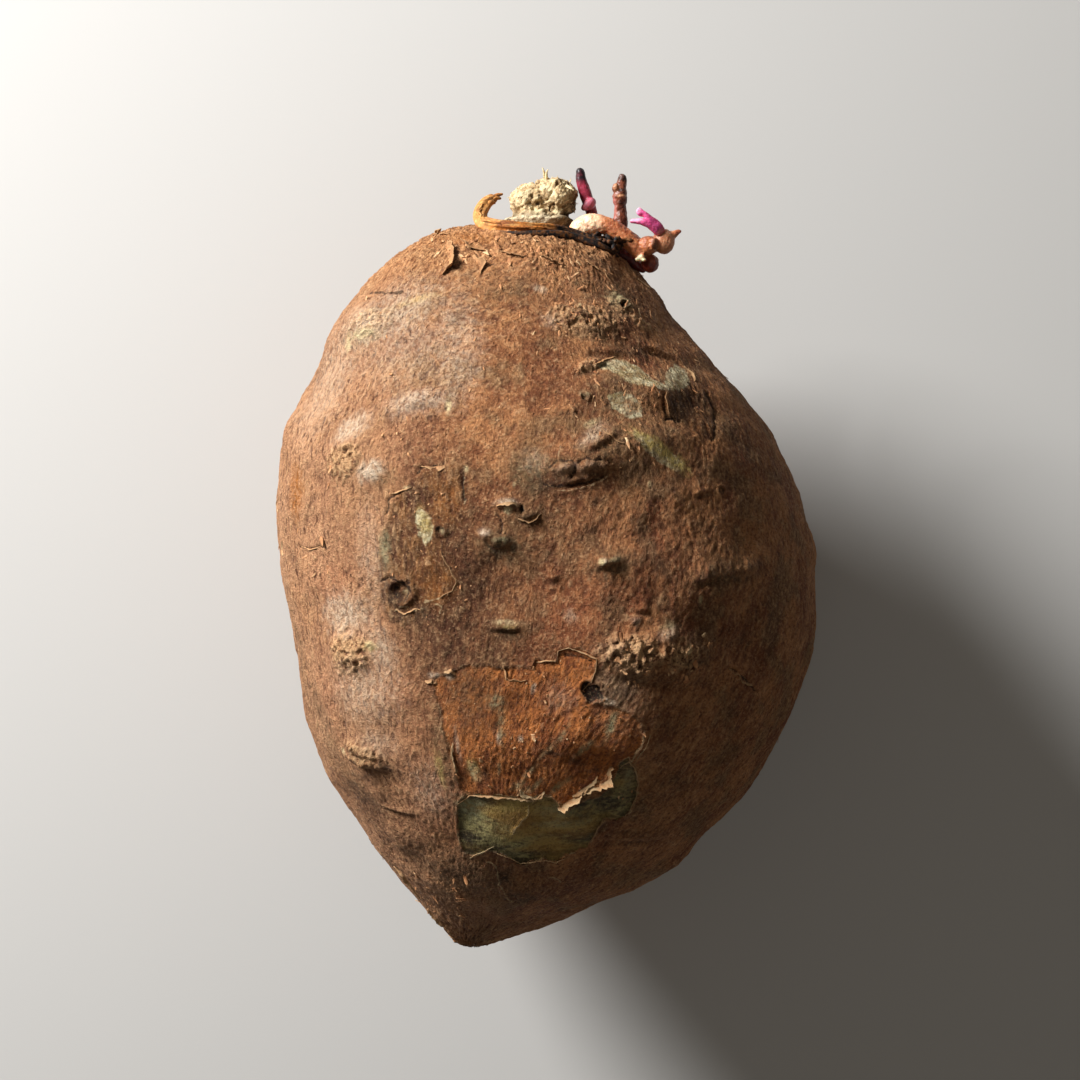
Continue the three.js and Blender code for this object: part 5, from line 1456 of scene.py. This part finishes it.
# The shoots run along the plain model's paths, with thinner magenta forks and a few more small
# lumps. A zone's colour shows in its spots: middle, half sizes and strength.
shoots = {
    "fleshy": {
        "name": "sprout_body", "slot": "sprout_flesh", "node": "fleshy_sprout", "voxel": 0.15,
        "tubes": [
            ([(4.5, 60.5, 48.5), (6.0, 63.8, 49.6), (8.3, 65.0, 50.3), (11.6, 64.5, 50.6),
              (14.7, 62.5, 50.6), (17.1, 60.4, 50.4), (18.4, 58.6, 50.0)],
             [1.5, 2.0, 2.1, 1.75, 1.75, 1.8, 1.5]),
            ([(22.4, 62.4, 50.6), (23.9, 63.2, 50.7), (25.2, 63.9, 50.8)], [1.3, 0.8, 0.3]),
            ([(19.6, 60.2, 51.6), (20.0, 61.6, 52.6), (20.4, 62.4, 52.6)], [1.0, 0.9, 0.3]),
        ],
        "lumps": [((19.0, 61.0, 51.0), (2.0, 1.8, 1.9)), ((21.9, 61.8, 50.6), (2.1, 2.4, 2.0)),
                  ((19.4, 57.8, 49.3), (1.7, 1.8, 1.8)), ((17.6, 58.6, 51.4), (0.8, 0.75, 0.8)),
                  ((16.9, 58.4, 51.8), (0.45, 0.4, 0.45)), ((17.9, 59.1, 52.1), (0.4, 0.45, 0.4)),
                  ((18.2, 58.2, 52.0), (0.4, 0.35, 0.4))],
        "relief": [(1.1, 0.11), (0.45, 0.06)],
        "spots": {"bulb": [((7.2, 65.2, 51.0), (3.2, 2.4, 4.0), 0.9)],
                  "knob": [((21.9, 61.8, 51.2), (2.4, 2.6, 3.0), 0.8)],
                  "red": [((19.4, 57.3, 49.2), (2.2, 1.7, 3.4), 1.0),
                          ((25.0, 63.8, 50.8), (1.0, 1.0, 2.0), 0.6)],
                  "white": [((17.5, 58.5, 52.0), (0.9, 0.75, 1.1), 1.0),
                            ((18.5, 58.4, 51.8), (0.35, 0.35, 0.6), 0.9)],
                  "shade": [((20.2, 61.2, 52.6), (0.7, 1.2, 1.5), 0.8),
                            ((17.0, 62.8, 51.6), (2.0, 0.6, 1.2), 0.6),
                            ((20.9, 63.6, 52.0), (0.5, 1.0, 1.2), 0.5)]},
        "look": {"patch": 320.0, "light": tone(208, 132, 86), "dark": tone(146, 78, 46),
                 "grain": 1900.0, "pores": 0.45, "relief": 0.16,
                 "zones": {"bulb": tone(238, 206, 168), "knob": tone(206, 142, 104),
                           "red": tone(112, 36, 26), "white": tone(236, 220, 178),
                           "shade": tone(92, 52, 34)}},
        "roughness": 0.42, "specular": 0.5, "subsurface": 0.35,
    },
    "magenta": {
        "name": "bud_leaves", "slot": "magenta_leaf", "node": "magenta_bud", "voxel": 0.12,
        "tubes": [
            ([(21.6, 63.1, 51.6), (20.6, 64.7, 52.2), (18.9, 66.1, 52.7), (17.0, 67.9, 52.8)],
             [1.0, 0.82, 0.62, 0.34]),
            ([(21.3, 63.1, 51.8), (20.1, 64.2, 52.6), (18.1, 65.2, 53.1), (15.5, 65.4, 53.2)],
             [1.0, 0.85, 0.66, 0.34]),
            ([(18.2, 66.5, 52.6), (17.2, 67.0, 52.9), (16.8, 67.6, 53.0)], [0.4, 0.5, 0.25]),
        ],
        "lumps": [], "relief": [(0.8, 0.06), (0.3, 0.03)],
        "spots": {"tip": [((16.6, 67.9, 53.0), (1.1, 1.1, 2.0), 0.8),
                          ((16.4, 65.7, 53.9), (1.6, 0.5, 0.8), 0.8)],
                  "root": [((22.0, 62.9, 51.8), (1.5, 1.3, 3.0), 1.0)],
                  # The crease between the two leaves is painted dark as painted shade.
                  "crease": [((19.3, 65.6, 52.4), (0.9, 0.3, 1.0), 0.7)]},
        "look": {"patch": 240.0, "light": tone(224, 94, 148), "dark": tone(176, 54, 106),
                 "grain": 2400.0, "pores": 0.15, "relief": 0.06,
                 "zones": {"tip": tone(236, 186, 210), "root": tone(214, 128, 120),
                           "crease": tone(90, 24, 70)}},
        "roughness": 0.35, "specular": 0.5, "subsurface": 0.3,
    },
    "pink": {
        "name": "pink_stalk", "slot": "pink_stem", "node": "pink_shoot", "voxel": 0.13,
        "tubes": [
            ([(8.6, 60.0, 42.5), (8.6, 67.2, 43.0), (7.6, 70.5, 43.4), (6.6, 73.6, 43.6),
              (6.2, 76.4, 43.8)], [1.1, 1.0, 1.1, 1.15, 0.75]),
            ([(8.7, 70.4, 44.0), (8.0, 69.3, 44.9), (6.5, 68.3, 45.2)], [0.7, 1.05, 0.35]),
        ],
        "lumps": [], "relief": [(0.9, 0.07), (0.35, 0.03)],
        "spots": {"bract": [((7.8, 69.2, 45.4), (1.5, 1.3, 1.6), 1.0)],
                  "dry": [((6.2, 76.0, 43.8), (2.6, 2.6, 2.6), 1.0)],
                  "deep": [((7.9, 66.5, 43.4), (2.0, 1.6, 2.0), 0.6)]},
        "look": {"patch": 260.0, "light": tone(176, 62, 84), "dark": tone(118, 30, 48),
                 "grain": 2200.0, "pores": 0.2, "relief": 0.06,
                 "zones": {"bract": tone(214, 120, 140), "dry": tone(28, 24, 28),
                           "deep": tone(84, 24, 30)}},
        "roughness": 0.35, "specular": 0.5, "subsurface": 0.3,
    },
    "brown": {
        "name": "brown_stalk", "slot": "brown_stem", "node": "brown_shoot", "voxel": 0.14,
        "tubes": [
            ([(13.6, 57.0, 44.0), (13.8, 63.5, 45.0), (13.9, 67.5, 45.6), (13.8, 70.5, 46.0),
              (14.1, 73.0, 46.1), (14.4, 75.0, 46.2)],
             [1.4, 1.5, 1.3, 1.25, 1.5, 1.15, 1.35, 1.0, 0.7]),
        ],
        "lumps": [((13.0, 72.2, 46.4), (0.75, 0.9, 0.9)), ((13.8, 70.6, 46.1), (1.45, 0.4, 1.4))],
        "relief": [(0.9, 0.16), (0.35, 0.06)],
        "spots": {"ring": [((14.2, 70.7, 47.4), (1.1, 0.35, 1.0), 0.9),
                           ((13.0, 72.3, 47.2), (0.6, 0.7, 0.8), 0.7)],
                  # A pale rosy strip down the left side is painted highlight, and the holes are
                  # painted dark as painted shade.
                  "rosyHighlight": [((12.7, 68.4, 46.6), (0.5, 2.2, 1.4), 0.6)],
                  "hole": [((13.9, 69.5, 47.2), (0.5, 0.4, 0.6), 1.0),
                           ((14.0, 71.8, 47.2), (0.6, 0.35, 0.6), 0.9)],
                  "dry": [((14.4, 74.8, 46.4), (1.6, 1.3, 1.6), 1.0)]},
        "look": {"patch": 300.0, "light": tone(136, 74, 50), "dark": tone(82, 42, 28),
                 "grain": 2000.0, "pores": 0.4, "relief": 0.1,
                 "zones": {"ring": tone(208, 150, 108), "rosyHighlight": tone(190, 118, 108),
                           "hole": tone(30, 20, 16), "dry": tone(44, 28, 22)}},
        "roughness": 0.4, "specular": 0.5, "subsurface": 0.15,
    },
    "red": {
        "name": "red_stalk", "slot": "red_stem", "node": "red_shoot", "voxel": 0.14,
        "tubes": [
            ([(10.0, 57.0, 45.0), (12.6, 60.4, 46.6), (14.8, 59.4, 47.0), (17.0, 57.6, 47.0),
              (18.6, 56.4, 46.6)], [1.3, 1.3, 1.2, 1.1, 0.6]),
        ],
        "lumps": [], "relief": [(0.9, 0.1), (0.35, 0.04)],
        "spots": {"shade": [((12.0, 60.0, 47.0), (2.0, 2.0, 2.0), 0.6)]},
        "look": {"patch": 300.0, "light": tone(116, 34, 28), "dark": tone(66, 18, 16),
                 "grain": 2000.0, "pores": 0.3, "relief": 0.08,
                 "zones": {"shade": tone(36, 16, 14)}},
        "roughness": 0.4, "specular": 0.5, "subsurface": 0.15,
    },
}


def makeShoot(shoot):
    shells = [sweep(path, girth, sides=18, steps=40) for path, girth in shoot["tubes"]]
    shells += [lump(at, half, divisions=12) for at, half in shoot["lumps"]]
    points, normals, faceSets = meld(shells, shoot["voxel"], soften=4)
    height = sum(amount * noiseA(points / size) for size, amount in shoot["relief"])
    made = makeMesh(shoot["name"], points + normals * height[:, None], faceSets)
    setValues(made, {zone: np.clip(sum(
        amount * smoothStep(1.3, 0.7, np.linalg.norm((points - at) / size, axis=1))
        for at, size, amount in spots), 0, 1) for zone, spots in shoot["spots"].items()})
    finishPiece(made, shoot["slot"], makeZoneMaterial(
        shoot["name"], shoot["look"], shoot["roughness"], shoot["specular"],
        shoot["subsurface"]), shoot["node"])


for shoot in shoots.values():
    makeShoot(shoot)
print("shoots: done")

# The floor and the lights.
studio = {
    "floor": (0.55, 0.54, 0.52, 1), "floorSize": 4000, "world": 0.1,
    "worldColour": (1.0, 0.89, 0.74, 1),
    "key": {"from": (-0.7, 0.6, 0.39), "distance": 0.75, "size": 0.3, "power": 14},
    "fill": {"from": (0.2, -0.3, 0.9), "distance": 1.0, "size": 0.9, "power": 0.6},
}


def makeStudio():
    material, tree, shader = newMaterial("floorPaper", 0.9, 0.1)
    shader.inputs["Base Color"].default_value = studio["floor"]
    half = studio["floorSize"] / 2
    corners = np.array([(-half, -half, 0), (half, -half, 0), (half, half, 0), (-half, half, 0)])
    floor = makeMesh("floor", corners, [np.array([[0, 1, 2, 3]])])
    floor.data.materials.append(material)
    aim = Vector((0, 0, 0.04))
    for name in ("key", "fill"):
        light = studio[name]
        data = bpy.data.lights.new(name, "AREA")
        data.shape, data.size, data.energy = "DISK", light["size"], light["power"]
        lamp = bpy.data.objects.new(name, data)
        lamp.location = aim + Vector(light["from"]).normalized() * light["distance"]
        lamp.rotation_euler = (aim - lamp.location).to_track_quat("-Z", "Y").to_euler()
        bpy.context.scene.collection.objects.link(lamp)
    world = bpy.data.worlds.new("studio")
    world.use_nodes = True
    world.node_tree.nodes["Background"].inputs["Color"].default_value = studio["worldColour"]
    world.node_tree.nodes["Background"].inputs["Strength"].default_value = studio["world"]
    bpy.context.scene.world = world
    bpy.context.scene.view_settings.view_transform = "Standard"


makeStudio()
print("studio: done")
